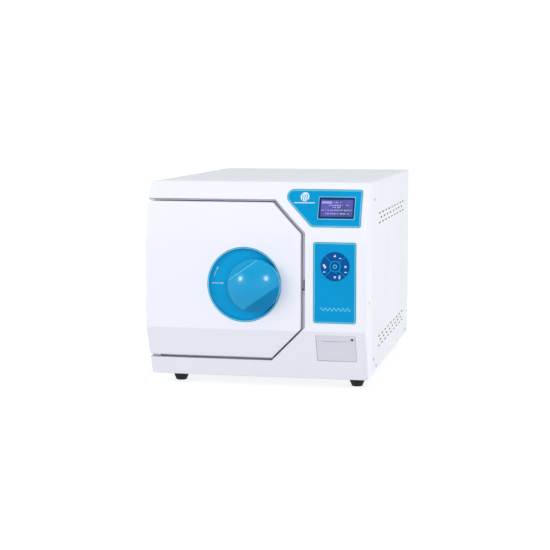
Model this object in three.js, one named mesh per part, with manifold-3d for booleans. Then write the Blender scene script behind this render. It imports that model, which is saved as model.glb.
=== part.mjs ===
// Benchtop steam autoclave of the 23 litre class, as an assembly of separate pieces.
//
// Millimetres, +Z up, and the front faces -Y. The pieces are laid out in the casing's own frame:
//   x from the middle of the casing, positive to the right as seen from the front,
//   y depth behind the flat middle of the front,
//   z height above the casing's underside, so that the feet reach down to -FOOT_HEIGHT.
// The exported group moves that frame so that the origin is under the middle of the whole object.

import * as THREE from "three";
import { mergeVertices } from "three/addons/utils/BufferGeometryUtils.js";
import Module from "manifold-3d";

const wasm = await Module();
wasm.setup();

// ---------------------------------------------------------------- driving dimensions

const CASE_WIDTH = 445;
const CASE_HEIGHT = 388;
const CASE_DEPTH = 700;
const FOOT_HEIGHT = 27;
const KNOB_REACH = 42; // how far the knob stands in front of the flat front
const REAR_REACH = 28; // how far the rear fittings stand behind the casing

const GAP = 0.3; // between pieces that touch on the real object
const WALL = 3; // moulded front and door
const SHEET = 1.5; // folded steel cover
const CUT = 40; // how far a cutting tool runs past what it cuts

// The front, from the side: a flat middle, a bulge that leans back above it, a facet below it.
const FACET_TILT = THREE.MathUtils.degToRad(22.8);
const CREASE_Z = 98.7;
const BULGE_Z = 265;
const BULGE_RADIUS = 176;
const FRAME_DEPTH = 84;
const FRAME_EDGE = 5;
const FRAME_DROP = 3; // how far the front's lower edge covers the base pan

// The door fills the left of the front, and its two right corners are cut at 45 degrees.
const DOOR = { left: -221.5, right: 93.7, bottom: 38.8, top: 349.2, proud: 2, back: 56 };
const DOOR_CORNER_TOP = 60;
const DOOR_CORNER_BOTTOM = 62.9;
const DOOR_CORNER_LEFT = 6;
const DOOR_EDGE = 3;
const RECESS_DEPTH = 70;
// The recess leaves these gaps round the door: above and below, at the right and at its two cut corners.
const DOOR_GAP = { level: 5.6, right: 8, upper: 7.2, lower: 3.2 };

const HINGE = { x: -206, y: 44, pinRadius: 5, pinReach: 24, headRadius: 8, blockHeight: 16 };
const CHAMBER = { x: -62, z: 188, radius: 125, wall: 3, front: 65, back: 528, dish: 30 };
const CHAMBER_AXIS = [CHAMBER.x, CHAMBER.z];
const FLANGE = { radius: 144, thickness: 12 };
const ROUND = 36; // sides of everything that is concentric with the chamber
const PIN_SIDES = 12;
const PLATE = { radius: 136, front: 49.5, back: 59.5 };
const GASKET = { inner: 118, outer: 133, lip: 4 };

const DISH = { x: -19.4, z: 188, radius: 73, wall: 1.2, depth: 8 };
const KNOB = { x: 3.5, z: 188, radius: 52, back: -5, shelf: -22, bossRadius: 40, bossBack: 5, step: 38 };
const GRIP_ANGLE = 35; // degrees that the knob's grip leans from level
const GRIP_SLOPE = 32; // degrees of the slope below the grip
const SPINDLE_RADIUS = 6;

// A rack and pinion turn a quarter turn of the knob into the bolt's travel.
const GEAR = { teeth: 12, module: 1.5, front: 20, back: 28 };
const PITCH_RADIUS = (GEAR.teeth * GEAR.module) / 2;
const RACK_Z = KNOB.z + PITCH_RADIUS;
const BOLT = { left: -30, shoulder: 50, tip: 97.5, low: 179, high: 197, bar: 10 };
const GUIDE = { left: 28, right: 46, wall: 4, play: 0.4 };
const STRIKE = { thickness: 5, front: 10, back: 42, end: 16 };

const BEAM = { front: 34, back: 44, right: 84, half: 30, post: 9, holes: [-150, -100, 48], holeRadius: 14 };

// The inlay's slanted edge lies where x + z = slant.
const DISPLAY = { left: 61, right: 210.5, bottom: 303.4, top: 374.8, corner: 12, slant: 417.2 };
const LCD = { x: 161.2, z: 340, width: 74, height: 48.4, depth: 9, glassWidth: 64, glassHeight: 36 };
const LCD_WELL = 2.6; // depth of the bezel's recess for the glass
const KEYPAD = { left: 118.5, right: 202.7, bottom: 115.5, top: 274, corner: 5, x: 161.5, z: 227.3 };
const KEY = { outer: 28, inner: 12, centre: 8.6, slit: 1.7, front: -1.6, back: 0.1 };

const PRINTER = { x: 162, z: 62.9, width: 78, height: 59.3, depth: 46, slot: 16.4 };

const VENT = { slots: 9, pitch: 48.5, start: 200, length: 24, height: 4, rowPitch: 10 };
const VENT_ROWS = [319, 63];

const FEET = [
  ["foot_front_left", -179.5, 112],
  ["foot_front_right", 189.5, 112],
  ["foot_rear_left", -179.5, 630],
  ["foot_rear_right", 189.5, 630],
];

const HALF_WIDTH = CASE_WIDTH / 2;
const COVER_DROP = 0.8; // the cover lies this much inside the front frame's outline

// ---------------------------------------------------------------- materials

const finish = (color, roughness, metalness) =>
  new THREE.MeshStandardMaterial({ color, roughness, metalness });
const paintedWhite = finish(0xeef0f8, 0.4, 0);
const mouldedWhite = finish(0xf1f3fc, 0.32, 0);
const steel = finish(0xc9ccd0, 0.3, 1);
const blackRubber = finish(0x1e2326, 0.8, 0);
const silicone = finish(0xd9d2c4, 0.7, 0);
const knobBlue = finish(0x00a5d7, 0.15, 0);
const dishBlue = finish(0x0096d7, 0.3, 0);
const ringCyan = finish(0x60cdec, 0.2, 0);
const panelBlue = finish(0x00a0dc, 0.35, 0);
const keyBlue = finish(0x00509b, 0.4, 0);
const displayNavy = finish(0x12305c, 0.3, 0);
const displayGlass = finish(0x5b4a9c, 0.1, 0);
const printerGrey = finish(0xd4d6e0, 0.45, 0);
const blackPlastic = finish(0x202225, 0.5, 0);
const paper = finish(0xf8f8f4, 0.9, 0);
const insulation = finish(0xb9b4a6, 0.95, 0);
const brass = finish(0xb8965a, 0.35, 1);
const boardGreen = finish(0x1f6b3f, 0.6, 0);
const aluminium = finish(0xb4b8bd, 0.4, 1);
const tankWhite = finish(0xe3e8ea, 0.5, 0);
const heaterCopper = finish(0xa8663a, 0.45, 1);

// ---------------------------------------------------------------- solids

// A three.js geometry as a solid that can be joined and cut.
function toSolid(geometry) {
  geometry.deleteAttribute("normal");
  geometry.deleteAttribute("uv");
  const merged = mergeVertices(geometry, 1e-3);
  const vertProperties = merged.attributes.position.array;
  const triVerts = new Uint32Array(merged.index.array);
  return new wasm.Manifold(new wasm.Mesh({ numProp: 3, vertProperties, triVerts }));
}

function toGeometry(solid) {
  const mesh = solid.getMesh();
  const geometry = new THREE.BufferGeometry();
  geometry.setAttribute("position", new THREE.BufferAttribute(mesh.vertProperties, mesh.numProp));
  geometry.setIndex(new THREE.BufferAttribute(mesh.triVerts, 1));
  geometry.computeVertexNormals();
  return geometry;
}

const join = (first, ...rest) => rest.reduce((all, next) => all.add(next), first);
const cut = (body, ...tools) => tools.reduce((left, tool) => left.subtract(tool), body);
const common = (a, b) => a.intersect(b);

function block([x0, x1], [y0, y1], [z0, z1]) {
  const geometry = new THREE.BoxGeometry(x1 - x0, y1 - y0, z1 - z0);
  geometry.translate((x0 + x1) / 2, (y0 + y1) / 2, (z0 + z1) / 2);
  return toSolid(geometry);
}

// Turns a geometry that was made along its own +Z (or, for a lathe, +Y) to lie along a named axis.
const ALONG = {
  x: new THREE.Matrix4().makeBasis(
    new THREE.Vector3(0, 1, 0), new THREE.Vector3(0, 0, 1), new THREE.Vector3(1, 0, 0)),
  y: new THREE.Matrix4().makeBasis(
    new THREE.Vector3(1, 0, 0), new THREE.Vector3(0, 0, 1), new THREE.Vector3(0, -1, 0)),
  z: new THREE.Matrix4(),
};

// An outline drawn across an axis, and drawn out along it. Across x the outline is (y, z),
// across y it is (x, z), and across z it is (x, y). A rounding eases the edges of both ends.
function prism(axis, outline, from, to, { rounding = 0, curveSegments = 8 } = {}) {
  const geometry = new THREE.ExtrudeGeometry(outline, {
    depth: to - from - 2 * rounding,
    bevelEnabled: rounding > 0,
    bevelThickness: rounding,
    bevelSize: rounding,
    bevelOffset: -rounding,
    bevelSegments: 3,
    curveSegments,
  });
  geometry.applyMatrix4(ALONG[axis]);
  const start = axis === "y" ? to - rounding : from + rounding;
  geometry.translate(axis === "x" ? start : 0, axis === "y" ? start : 0, axis === "z" ? start : 0);
  return toSolid(geometry);
}

// A turned piece: its profile is [radius, place along the axis], and centre is the other two coordinates.
function turned(axis, profile, [a, b] = [0, 0], segments = 20) {
  const area = profile.reduce((sum, [r, h], i) => {
    const [r2, h2] = profile[(i + 1) % profile.length];
    return sum + r * h2 - r2 * h;
  }, 0);
  const points = (area < 0 ? [...profile].reverse() : profile).map(([r, h]) => new THREE.Vector2(r, h));
  const geometry = new THREE.LatheGeometry(points, segments);
  if (axis === "x") geometry.rotateZ(-Math.PI / 2);
  if (axis === "z") geometry.rotateX(Math.PI / 2);
  const middle = { x: [0, a, b], y: [a, 0, b], z: [a, b, 0] }[axis];
  geometry.translate(...middle);
  return toSolid(geometry);
}

function rod(axis, radius, from, to, centre, segments = 16) {
  return turned(axis, [[0, from], [radius, from], [radius, to], [0, to]], centre, segments);
}

function ring(axis, inner, outer, from, to, centre, segments = 32) {
  const profile = [[inner, from], [outer, from], [outer, to], [inner, to], [inner, from]];
  return turned(axis, profile, centre, segments);
}

function turn(solid, axis, degrees, [x, y, z]) {
  const angles = { x: [degrees, 0, 0], y: [0, degrees, 0], z: [0, 0, degrees] }[axis];
  return solid.translate([-x, -y, -z]).rotate(angles).translate([x, y, z]);
}

// ---------------------------------------------------------------- outlines

function polygon(points) {
  const shape = new THREE.Shape();
  points.forEach(([x, y], i) => (i ? shape.lineTo(x, y) : shape.moveTo(x, y)));
  shape.closePath();
  return shape;
}

function roundedRect(x0, y0, x1, y1, radius) {
  const shape = new THREE.Shape();
  shape.absarc(x1 - radius, y0 + radius, radius, -Math.PI / 2, 0);
  shape.absarc(x1 - radius, y1 - radius, radius, 0, Math.PI / 2);
  shape.absarc(x0 + radius, y1 - radius, radius, Math.PI / 2, Math.PI);
  shape.absarc(x0 + radius, y0 + radius, radius, Math.PI, 1.5 * Math.PI);
  shape.closePath();
  return shape;
}

// Depth of the front surface at a height, for a surface that lies inset behind the outer one.
function frontDepth(z, inset = 0) {
  const crease = CREASE_Z + inset * Math.tan(FACET_TILT / 2);
  if (z < crease) return inset + (crease - z) * Math.tan(FACET_TILT);
  if (z <= BULGE_Z) return inset;
  return BULGE_RADIUS - Math.sqrt((BULGE_RADIUS - inset) ** 2 - (z - BULGE_Z) ** 2);
}

// The front's side profile between two heights, closed at a depth behind it.
function frontProfile(inset, low, high, back) {
  const radius = BULGE_RADIUS - inset;
  const shape = new THREE.Shape();
  shape.moveTo(back, low);
  shape.lineTo(back, high);
  shape.lineTo(frontDepth(high, inset), high);
  shape.absarc(BULGE_RADIUS, BULGE_Z, radius, Math.PI - Math.asin((high - BULGE_Z) / radius), Math.PI);
  shape.lineTo(inset, CREASE_Z + inset * Math.tan(FACET_TILT / 2));
  shape.lineTo(frontDepth(low, inset), low);
  shape.closePath();
  return shape;
}

// The door's outline, grown by margins above and below, at the right and at its upper and lower cut
// corners. Its left side may be left open past the casing's edge.
function doorOutline(margins, openLeft = false) {
  const right = DOOR.right + margins.right;
  const top = DOOR.top + margins.level;
  const bottom = DOOR.bottom - margins.level;
  const upperSum = DOOR.right + DOOR.top - DOOR_CORNER_TOP + margins.upper * Math.SQRT2; // x + z there
  const lowerLead = DOOR.right - DOOR.bottom - DOOR_CORNER_BOTTOM + margins.lower * Math.SQRT2; // x - z there
  const left = openLeft ? -HALF_WIDTH - CUT : DOOR.left - margins.level;
  const corner = openLeft ? 1 : DOOR_CORNER_LEFT;
  const shape = new THREE.Shape();
  shape.absarc(left + corner, bottom + corner, corner, Math.PI, 1.5 * Math.PI);
  shape.lineTo(bottom + lowerLead, bottom);
  shape.lineTo(right, right - lowerLead);
  shape.lineTo(right, upperSum - right);
  shape.lineTo(upperSum - top, top);
  shape.absarc(left + corner, top - corner, corner, Math.PI / 2, Math.PI);
  shape.closePath();
  return shape;
}

const evenly = (margin) => ({ level: margin, right: margin, upper: margin, lower: margin });
const wider = (margins, more) =>
  Object.fromEntries(Object.entries(margins).map(([side, margin]) => [side, margin + more]));

// The display inlay: level top, bottom and right side, a rounded left end, and a 45 degree edge along the
// door's corner.
function displayOutline(margin) {
  const { left, right, bottom, top, corner, slant } = DISPLAY;
  const nose = (left + top - slant) / Math.SQRT2; // radius that touches the left, the top and the slant
  const shape = new THREE.Shape();
  shape.absarc(right - 3, bottom + 3, 3 + margin, -Math.PI / 2, 0);
  shape.absarc(right - 4, top - 4, 4 + margin, 0, Math.PI / 2);
  shape.absarc(left + nose, top - nose, nose + margin, Math.PI / 2, 1.25 * Math.PI);
  shape.absarc(slant - bottom + corner * (Math.SQRT2 - 1), bottom + corner, corner + margin,
    1.25 * Math.PI, 1.5 * Math.PI);
  shape.closePath();
  return shape;
}

function gearOutline() {
  const { teeth, module } = GEAR;
  const root = PITCH_RADIUS - 1.15 * module;
  const tip = PITCH_RADIUS + 0.85 * module;
  const points = [];
  for (let i = 0; i < teeth; i++) {
    // The first space points straight up, where the rack's tooth stands at rest.
    const middle = Math.PI / 2 + ((i + 0.5) * 2 * Math.PI) / teeth;
    for (const [radius, half] of [[root, -0.17], [tip, -0.05], [tip, 0.05], [root, 0.17]]) {
      points.push([radius * Math.cos(middle + half), radius * Math.sin(middle + half)]);
    }
  }
  return polygon(points);
}

// ---------------------------------------------------------------- scene graph

const root = new THREE.Group();
root.position.set(0, (KNOB_REACH - CASE_DEPTH - REAR_REACH) / 2, FOOT_HEIGHT);

function add(name, solid, material, parent = root, [x, y, z] = [0, 0, 0]) {
  const mesh = new THREE.Mesh(toGeometry(solid), material);
  mesh.name = name;
  mesh.position.set(x, y, z);
  parent.add(mesh);
}

// The printer and the display stand square to the slanting front, each in a group of its own.
const printer = new THREE.Group();
printer.position.set(PRINTER.x, frontDepth(PRINTER.z), PRINTER.z);
printer.rotation.x = FACET_TILT;
root.add(printer);

const LCD_TILT = -Math.asin((LCD.z - BULGE_Z) / BULGE_RADIUS);
const display = new THREE.Group();
display.position.set(LCD.x, frontDepth(LCD.z), LCD.z);
display.rotation.x = LCD_TILT;
root.add(display);

// The same placing for a tool that cuts a piece of the casing.
const inPrinter = (solid) =>
  solid.rotate([THREE.MathUtils.radToDeg(FACET_TILT), 0, 0]).translate(printer.position.toArray());
const inDisplay = (solid) =>
  solid.rotate([THREE.MathUtils.radToDeg(LCD_TILT), 0, 0]).translate(display.position.toArray());

// ---------------------------------------------------------------- casing

const lcdOpening = (margin) => block(
  [-LCD.width / 2 - margin, LCD.width / 2 + margin],
  [-CUT, CUT],
  [-LCD.height / 2 - margin, LCD.height / 2 + margin],
);

function frontFrame() {
  const whole = cut(
    prism("x", frontProfile(0, -FRAME_DROP, CASE_HEIGHT, FRAME_DEPTH + CUT), -HALF_WIDTH, HALF_WIDTH,
      { rounding: FRAME_EDGE, curveSegments: 9 }),
    block([-CASE_WIDTH, CASE_WIDTH], [FRAME_DEPTH, FRAME_DEPTH + 2 * CUT], [-CUT, CASE_HEIGHT + CUT]),
  );
  const hollow = prism("x", frontProfile(WALL, WALL - FRAME_DROP, CASE_HEIGHT - WALL, FRAME_DEPTH + CUT),
    -HALF_WIDTH + WALL, HALF_WIDTH - WALL, { curveSegments: 9 });
  const recessWalls = prism("y", doorOutline(wider(DOOR_GAP, WALL), true), -CUT, RECESS_DEPTH + WALL);
  const recess = prism("y", doorOutline(DOOR_GAP, true), -CUT, RECESS_DEPTH);
  const mouth = rod("y", FLANGE.radius + 1.5, 0, FRAME_DEPTH + CUT, CHAMBER_AXIS, ROUND);
  const inlayDepth = 1.5;
  const displayBed = common(
    cut(
      block([0, HALF_WIDTH], [-CUT, FRAME_DEPTH], [BULGE_Z, CASE_HEIGHT]),
      prism("x", frontProfile(inlayDepth, 0, CASE_HEIGHT - WALL, FRAME_DEPTH + CUT), -CASE_WIDTH, CASE_WIDTH,
        { curveSegments: 9 }),
    ),
    prism("y", displayOutline(GAP), -CUT, FRAME_DEPTH),
  );
  const keypadBed = prism("y", roundedRect(KEYPAD.left - GAP, KEYPAD.bottom - GAP, KEYPAD.right + GAP,
    KEYPAD.top + GAP, KEYPAD.corner), -CUT, 2.4);
  const cableHole = block([KEYPAD.x - 12, KEYPAD.x + 12], [0, 2 * WALL], [KEYPAD.z - 76, KEYPAD.z - 64]);
  const printerOpening = inPrinter(block(
    [-PRINTER.width / 2 - 0.6, PRINTER.width / 2 + 0.6],
    [-CUT, CUT],
    [-PRINTER.height / 2 - 0.6, PRINTER.height / 2 + 0.6],
  ));
  const boltSlot = block(
    [DOOR.right, DOOR.right + DOOR_GAP.right + 2 * WALL],
    [GEAR.front - 1.5, GEAR.back + 1.5],
    [BOLT.low - 1.5, BOLT.high + 1.5],
  );
  const pinHoles = [DOOR.top + DOOR_GAP.level, DOOR.bottom - DOOR_GAP.level - WALL].map((z) =>
    rod("z", HINGE.pinRadius + GAP, z - 1, z + WALL + 1, [HINGE.x, HINGE.y], PIN_SIDES));
  return cut(join(cut(whole, hollow), common(whole, recessWalls)), recess, mouth, displayBed,
    inDisplay(lcdOpening(0.4)), keypadBed, cableHole, printerOpening, boltSlot, ...pinHoles);
}

function coverOutline(drop) {
  const side = HALF_WIDTH - drop;
  const top = CASE_HEIGHT - drop;
  const fold = 4 - drop + COVER_DROP;
  const shape = new THREE.Shape();
  shape.moveTo(-side, 0);
  shape.lineTo(side, 0);
  shape.absarc(side - fold, top - fold, fold, 0, Math.PI / 2);
  shape.absarc(-side + fold, top - fold, fold, Math.PI / 2, Math.PI);
  shape.closePath();
  return shape;
}

function wrapCover() {
  const front = FRAME_DEPTH + GAP;
  const shell = cut(
    prism("y", coverOutline(COVER_DROP), front, CASE_DEPTH, { curveSegments: 4 }),
    prism("y", coverOutline(COVER_DROP + SHEET), front - CUT, CASE_DEPTH + CUT, { curveSegments: 4 }),
    block([-HALF_WIDTH + 4, HALF_WIDTH - 4], [0, CASE_DEPTH + CUT], [-1, 2 * SHEET]),
  );
  const slots = [];
  for (const topRow of VENT_ROWS) {
    for (let row = 0; row < 3; row++) {
      const count = row === 1 ? VENT.slots - 1 : VENT.slots;
      const shift = row === 1 ? VENT.pitch / 2 : 0;
      const z = topRow - row * VENT.rowPitch;
      for (let i = 0; i < count; i++) {
        const y = VENT.start + shift + i * VENT.pitch;
        slots.push(block([-CASE_WIDTH, CASE_WIDTH], [y - VENT.length / 2, y + VENT.length / 2],
          [z - VENT.height / 2, z + VENT.height / 2]));
      }
    }
  }
  return cut(shell, join(...slots));
}

const INSIDE = HALF_WIDTH - COVER_DROP - SHEET - GAP; // half the clear width inside the cover
const REAR_Y = 695; // front face of the rear panel
const REAR_SHEET = 2;
const PAN_TOP = 2;
const FAN = { x: 130, z: 285, size: 119, front: 655, back: 694.5, throat: 56, rotor: 52, hub: 20, axle: 2.5 };
const GRILLE = { rings: [16, 28, 40], width: 8, reach: 60, spoke: 3 };
const VALVE = { inlet: 562, pipe: 6, body: 9, cap: 12, back: 712 };
const INLET = { x: -140, z: 62, flange: [30, 20], body: [26, 15], depth: 28 }; // half widths and half heights
const DRAIN = { x: 60, z: 55, barrel: 9, spout: 23 }; // the spout's place behind the rear panel

function basePan() {
  const plate = block([-INSIDE, INSIDE], [FRAME_DEPTH + GAP, REAR_Y - GAP], [0, PAN_TOP]);
  const lips = [-1, 1].map((side) => {
    const edges = [side * INSIDE, side * (INSIDE - PAN_TOP)].sort((a, b) => a - b);
    return block(edges, [FRAME_DEPTH + GAP, REAR_Y - GAP], [0, 20]);
  });
  return join(plate, ...lips);
}

function rearPanel() {
  const through = [REAR_Y - CUT, REAR_Y + CUT];
  const sheet = prism("y", coverOutline(COVER_DROP + SHEET + GAP), REAR_Y, REAR_Y + REAR_SHEET,
    { curveSegments: 4 });
  const grille = GRILLE.rings.map((inner) =>
    ring("y", inner, inner + GRILLE.width, ...through, [FAN.x, FAN.z], 24));
  const spoke = block([FAN.x - GRILLE.reach, FAN.x + GRILLE.reach], [REAR_Y, REAR_Y + REAR_SHEET],
    [FAN.z - GRILLE.spoke, FAN.z + GRILLE.spoke]);
  const spokes = [45, -45].map((angle) => turn(spoke, "y", angle, [FAN.x, REAR_Y, FAN.z]));
  const valveHole = rod("y", VALVE.cap + 1, ...through, CHAMBER_AXIS);
  const drainHole = rod("y", DRAIN.barrel + 0.5, ...through, [DRAIN.x, DRAIN.z]);
  const [halfWidth, halfHeight] = INLET.body.map((half) => half + 0.5);
  const inletHole = block([INLET.x - halfWidth, INLET.x + halfWidth], through,
    [INLET.z - halfHeight, INLET.z + halfHeight]);
  return cut(join(cut(sheet, ...grille), ...spokes), valveHole, drainHole, inletHole);
}

function foot() {
  return turned("z", [[0, -FOOT_HEIGHT], [10, -FOOT_HEIGHT], [11, -FOOT_HEIGHT + 1.2], [20.5, -2.5],
    [20.5, -GAP], [0, -GAP]], [0, 0], 20);
}

// ---------------------------------------------------------------- pressure vessel

function pressureVessel() {
  const { radius, wall, front, back, dish } = CHAMBER;
  const outer = radius + wall;
  const dished = (r, depth, steps) => Array.from({ length: steps }, (_, i) => {
    const angle = ((i + 1) / steps) * (Math.PI / 2);
    return [r * Math.cos(angle), back + depth * Math.sin(angle)];
  });
  const outerDish = dished(outer, dish + wall, 3);
  const innerDish = dished(radius, dish, 3).reverse();
  outerDish[outerDish.length - 1][0] = 0;
  innerDish[0][0] = 0;
  const flangeBack = front + FLANGE.thickness;
  const profile = [...innerDish, [radius, back], [radius, front], [FLANGE.radius, front],
    [FLANGE.radius, flangeBack], [outer, flangeBack], [outer, back], ...outerDish];
  return turned("y", profile, CHAMBER_AXIS, ROUND);
}

function chamberCradle() {
  const { half, front, back, top, bar } = CRADLE;
  const low = PAN_TOP + GAP;
  const [left, right] = [CHAMBER.x - half, CHAMBER.x + half];
  const saddles = [front, back - bar].map((y) => block([left, right], [y, y + bar], [low, top]));
  const rails = [left, right - bar].map((x) => block([x, x + bar], [front, back], [low, low + 12]));
  const bed = rod("y", JACKET.outer + GAP, 0, CASE_DEPTH, CHAMBER_AXIS, ROUND);
  return cut(join(...saddles, ...rails), bed);
}

const CRADLE = { half: 118, front: 145, back: 480, top: 92, bar: 10 };
const HEATER = { inner: 128.4, outer: 131.5, front: 130, back: 470, split: 12 };
const JACKET = { inner: 132, outer: 145, front: 78, back: 540 };

function heaterBand() {
  const band = ring("y", HEATER.inner, HEATER.outer, HEATER.front, HEATER.back, CHAMBER_AXIS, ROUND);
  const split = block([CHAMBER.x - HEATER.split / 2, CHAMBER.x + HEATER.split / 2], [0, CASE_DEPTH],
    [CHAMBER.z, CHAMBER.z + JACKET.outer]);
  return cut(band, split);
}

const RACK = { half: 95, sheet: 1.5, low: -70, high: 70, front: 84, back: 500, ledge: 10, bar: 12 };
const WINDOWS = { bottoms: [-58, -12, 34], height: 24, end: 40 }; // in each side of the rack
const TRAY_LEVELS = [-46, 0, 46];
const TRAY = { half: 93, front: 90, back: 496, height: 16, wall: 1.2 };

function trayRack() {
  const along = [RACK.front, RACK.back];
  const sides = [-1, 1].flatMap((side) => {
    const across = (a, b) => [CHAMBER.x + side * a, CHAMBER.x + side * b].sort((p, q) => p - q);
    const plate = block(across(RACK.half, RACK.half + RACK.sheet), along,
      [CHAMBER.z + RACK.low, CHAMBER.z + RACK.high]);
    const windows = WINDOWS.bottoms.map((z) => block(across(RACK.half - 2, RACK.half + 4),
      [RACK.front + WINDOWS.end, RACK.back - WINDOWS.end],
      [CHAMBER.z + z, CHAMBER.z + z + WINDOWS.height]));
    const ledges = TRAY_LEVELS.map((z) => block(across(RACK.half - RACK.ledge, RACK.half + 1), along,
      [CHAMBER.z + z - RACK.sheet, CHAMBER.z + z]));
    return [cut(plate, ...windows), ...ledges];
  });
  const crossBars = [RACK.front, RACK.back - RACK.bar].map((y) =>
    block([CHAMBER.x - RACK.half - 1, CHAMBER.x + RACK.half + 1], [y, y + RACK.bar],
      [CHAMBER.z + RACK.low, CHAMBER.z + RACK.low + RACK.sheet]));
  return join(...sides, ...crossBars);
}

function tray() {
  const { half, front, back, height, wall } = TRAY;
  const outside = block([-half, half], [front, back], [GAP, height]);
  const inside = block([-half + wall, half - wall], [front + wall, back - wall], [GAP + wall, height + CUT]);
  return cut(outside, inside);
}

// ---------------------------------------------------------------- door

function doorCover() {
  const outer = common(
    prism("x", frontProfile(-DOOR.proud, 0, CASE_HEIGHT - 5, DOOR.back + CUT), DOOR.left, DOOR.right,
      { rounding: DOOR_EDGE, curveSegments: 9 }),
    prism("y", doorOutline(evenly(0)), -CUT, DOOR.back),
  );
  const hollow = common(
    prism("x", frontProfile(WALL - DOOR.proud, 0, CASE_HEIGHT - 5, DOOR.back + CUT),
      DOOR.left, DOOR.right, { curveSegments: 9 }),
    prism("y", doorOutline(evenly(-WALL)), -CUT, DOOR.back + CUT),
  );
  const dishHole = rod("y", DISH.radius + GAP, -CUT, 20, [DISH.x, DISH.z], 36);
  const boltSlot = block([DOOR.right - 2 * WALL, DOOR.right + CUT], [GEAR.front - 1, GEAR.back + 1],
    [BOLT.low - 1, BOLT.high + 1]);
  const pinHoles = rod("z", HINGE.pinRadius + 0.8, 0, CASE_HEIGHT, [HINGE.x, HINGE.y], PIN_SIDES);
  return cut(outer, hollow, dishHole, boltSlot, pinHoles);
}

function doorBackCover() {
  const sheet = prism("y", doorOutline(evenly(-WALL - GAP)), DOOR.back - 3, DOOR.back);
  return cut(sheet, rod("y", PLATE.radius + 2, 0, 2 * DOOR.back, CHAMBER_AXIS, ROUND));
}

const PIVOTS = { lower: DOOR.bottom + WALL + 1, upper: DOOR.top - WALL - 1 - HINGE.blockHeight };

function doorBeam() {
  const { front, back, right, half, post } = BEAM;
  const across = block([HINGE.x, right], [front, back], [KNOB.z - half, KNOB.z + half]);
  const upright = block([HINGE.x - post, HINGE.x + post], [front, back],
    [PIVOTS.lower + HINGE.blockHeight + GAP, PIVOTS.upper - GAP]);
  const bearing = rod("y", SPINDLE_RADIUS + 0.3, 0, 2 * back, [KNOB.x, KNOB.z]);
  const lightening = BEAM.holes.map((x) => rod("y", BEAM.holeRadius, 0, 2 * back, [x, KNOB.z], 20));
  return cut(join(across, upright), bearing, ...lightening);
}

function pivotBlock() {
  const body = block([HINGE.x - BEAM.post, HINGE.x + BEAM.post], [BEAM.front, HINGE.y + 8],
    [0, HINGE.blockHeight]);
  return cut(body, rod("z", HINGE.pinRadius + 0.2, -CUT, CUT, [HINGE.x, HINGE.y], PIN_SIDES));
}

// A hinge pin stands in the frame's wall with its head outside the recess. At z = 0 is the recess's face.
function hingePin() {
  const { pinRadius, pinReach, headRadius } = HINGE;
  const head = WALL + GAP;
  return turned("z", [[0, -pinReach], [pinRadius - 1, -pinReach], [pinRadius, 1 - pinReach],
    [pinRadius, head], [headRadius, head], [headRadius, WALL + 5], [0, WALL + 5]], [0, 0], PIN_SIDES);
}

function pressurePlate() {
  const { radius, front, back } = PLATE;
  return turned("y", [[0, BEAM.back + GAP], [30, BEAM.back + GAP], [34, front], [radius - 2, front],
    [radius, front + 2], [radius, back], [110, back], [104, back - 3], [0, back - 3]], CHAMBER_AXIS, ROUND);
}

function doorGasket() {
  const { inner, outer, lip } = GASKET;
  const back = CHAMBER.front - GAP;
  const front = PLATE.back + GAP;
  return turned("y", [[inner, front], [outer, front], [outer, front + 2], [outer - lip, back],
    [inner + lip, back], [inner, front + 2], [inner, front]], CHAMBER_AXIS, ROUND);
}

function knobDish() {
  const { radius, wall, depth, x, z } = DISH;
  const cup = turned("y", [[0, depth], [radius - wall - 2, depth], [radius - wall, depth - 2],
    [radius - wall, -DOOR.proud], [radius, -DOOR.proud], [radius, depth + 2], [0, depth + 2]], [x, z], 36);
  return cut(cup, rod("y", SPINDLE_RADIUS + 0.6, 0, 20, [KNOB.x, KNOB.z]));
}

function dishRing() {
  const { radius, x, z } = DISH;
  const back = -DOOR.proud - GAP;
  const front = back - 1.1;
  return turned("y", [[radius - 1.4, back], [radius + 1.4, back], [radius + 0.9, front],
    [radius - 0.9, front], [radius - 1.4, back]], [x, z], 36);
}

// ---------------------------------------------------------------- knob and lock

const DOME_TOP = -KNOB_REACH;
const DOME_RISE = KNOB.shelf - DOME_TOP;
const DOME_BASE = KNOB.radius - 0.5;
const DOME_RADIUS = (DOME_BASE ** 2 + DOME_RISE ** 2) / (2 * DOME_RISE);

function knobSolid() {
  const { radius, back, shelf, bossRadius, bossBack } = KNOB;
  const skirt = turned("y", [[0, bossBack], [bossRadius, bossBack], [bossRadius, back], [radius - 1.5, back],
    [radius, back - 1.5], [radius, shelf + 2], [radius - 2, shelf], [0, shelf]], [0, 0], 36);
  const centre = DOME_TOP + DOME_RADIUS;
  const widest = Math.asin(DOME_BASE / DOME_RADIUS);
  const steps = 5;
  const arc = Array.from({ length: steps + 1 }, (_, i) => {
    const angle = (widest * i) / steps;
    return [DOME_RADIUS * Math.sin(angle), centre - DOME_RADIUS * Math.cos(angle)];
  });
  const dome = turned("y", [...arc, [DOME_BASE, KNOB.shelf + 1], [0, KNOB.shelf + 1]], [0, 0], 36);
  // Above the grip a steep step, below it a slanting facet, both parallel to the grip.
  const across = [-CUT - KNOB.radius, CUT + KNOB.radius];
  const step = block(across, [DOME_TOP - CUT, KNOB.shelf], [KNOB.step, 2 * KNOB.radius]);
  const facet = turn(block(across, [KNOB.shelf - 2 * CUT, KNOB.shelf], [-2 * KNOB.radius, -DOME_BASE]),
    "x", GRIP_SLOPE - 90, [0, KNOB.shelf, -DOME_BASE]);
  const cap = turn(cut(dome, step, facet), "y", -GRIP_ANGLE, [0, 0, 0]);
  const socket = rod("y", SPINDLE_RADIUS + GAP, -10, CUT, [0, 0]);
  return cut(join(skirt, cap), socket);
}

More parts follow.
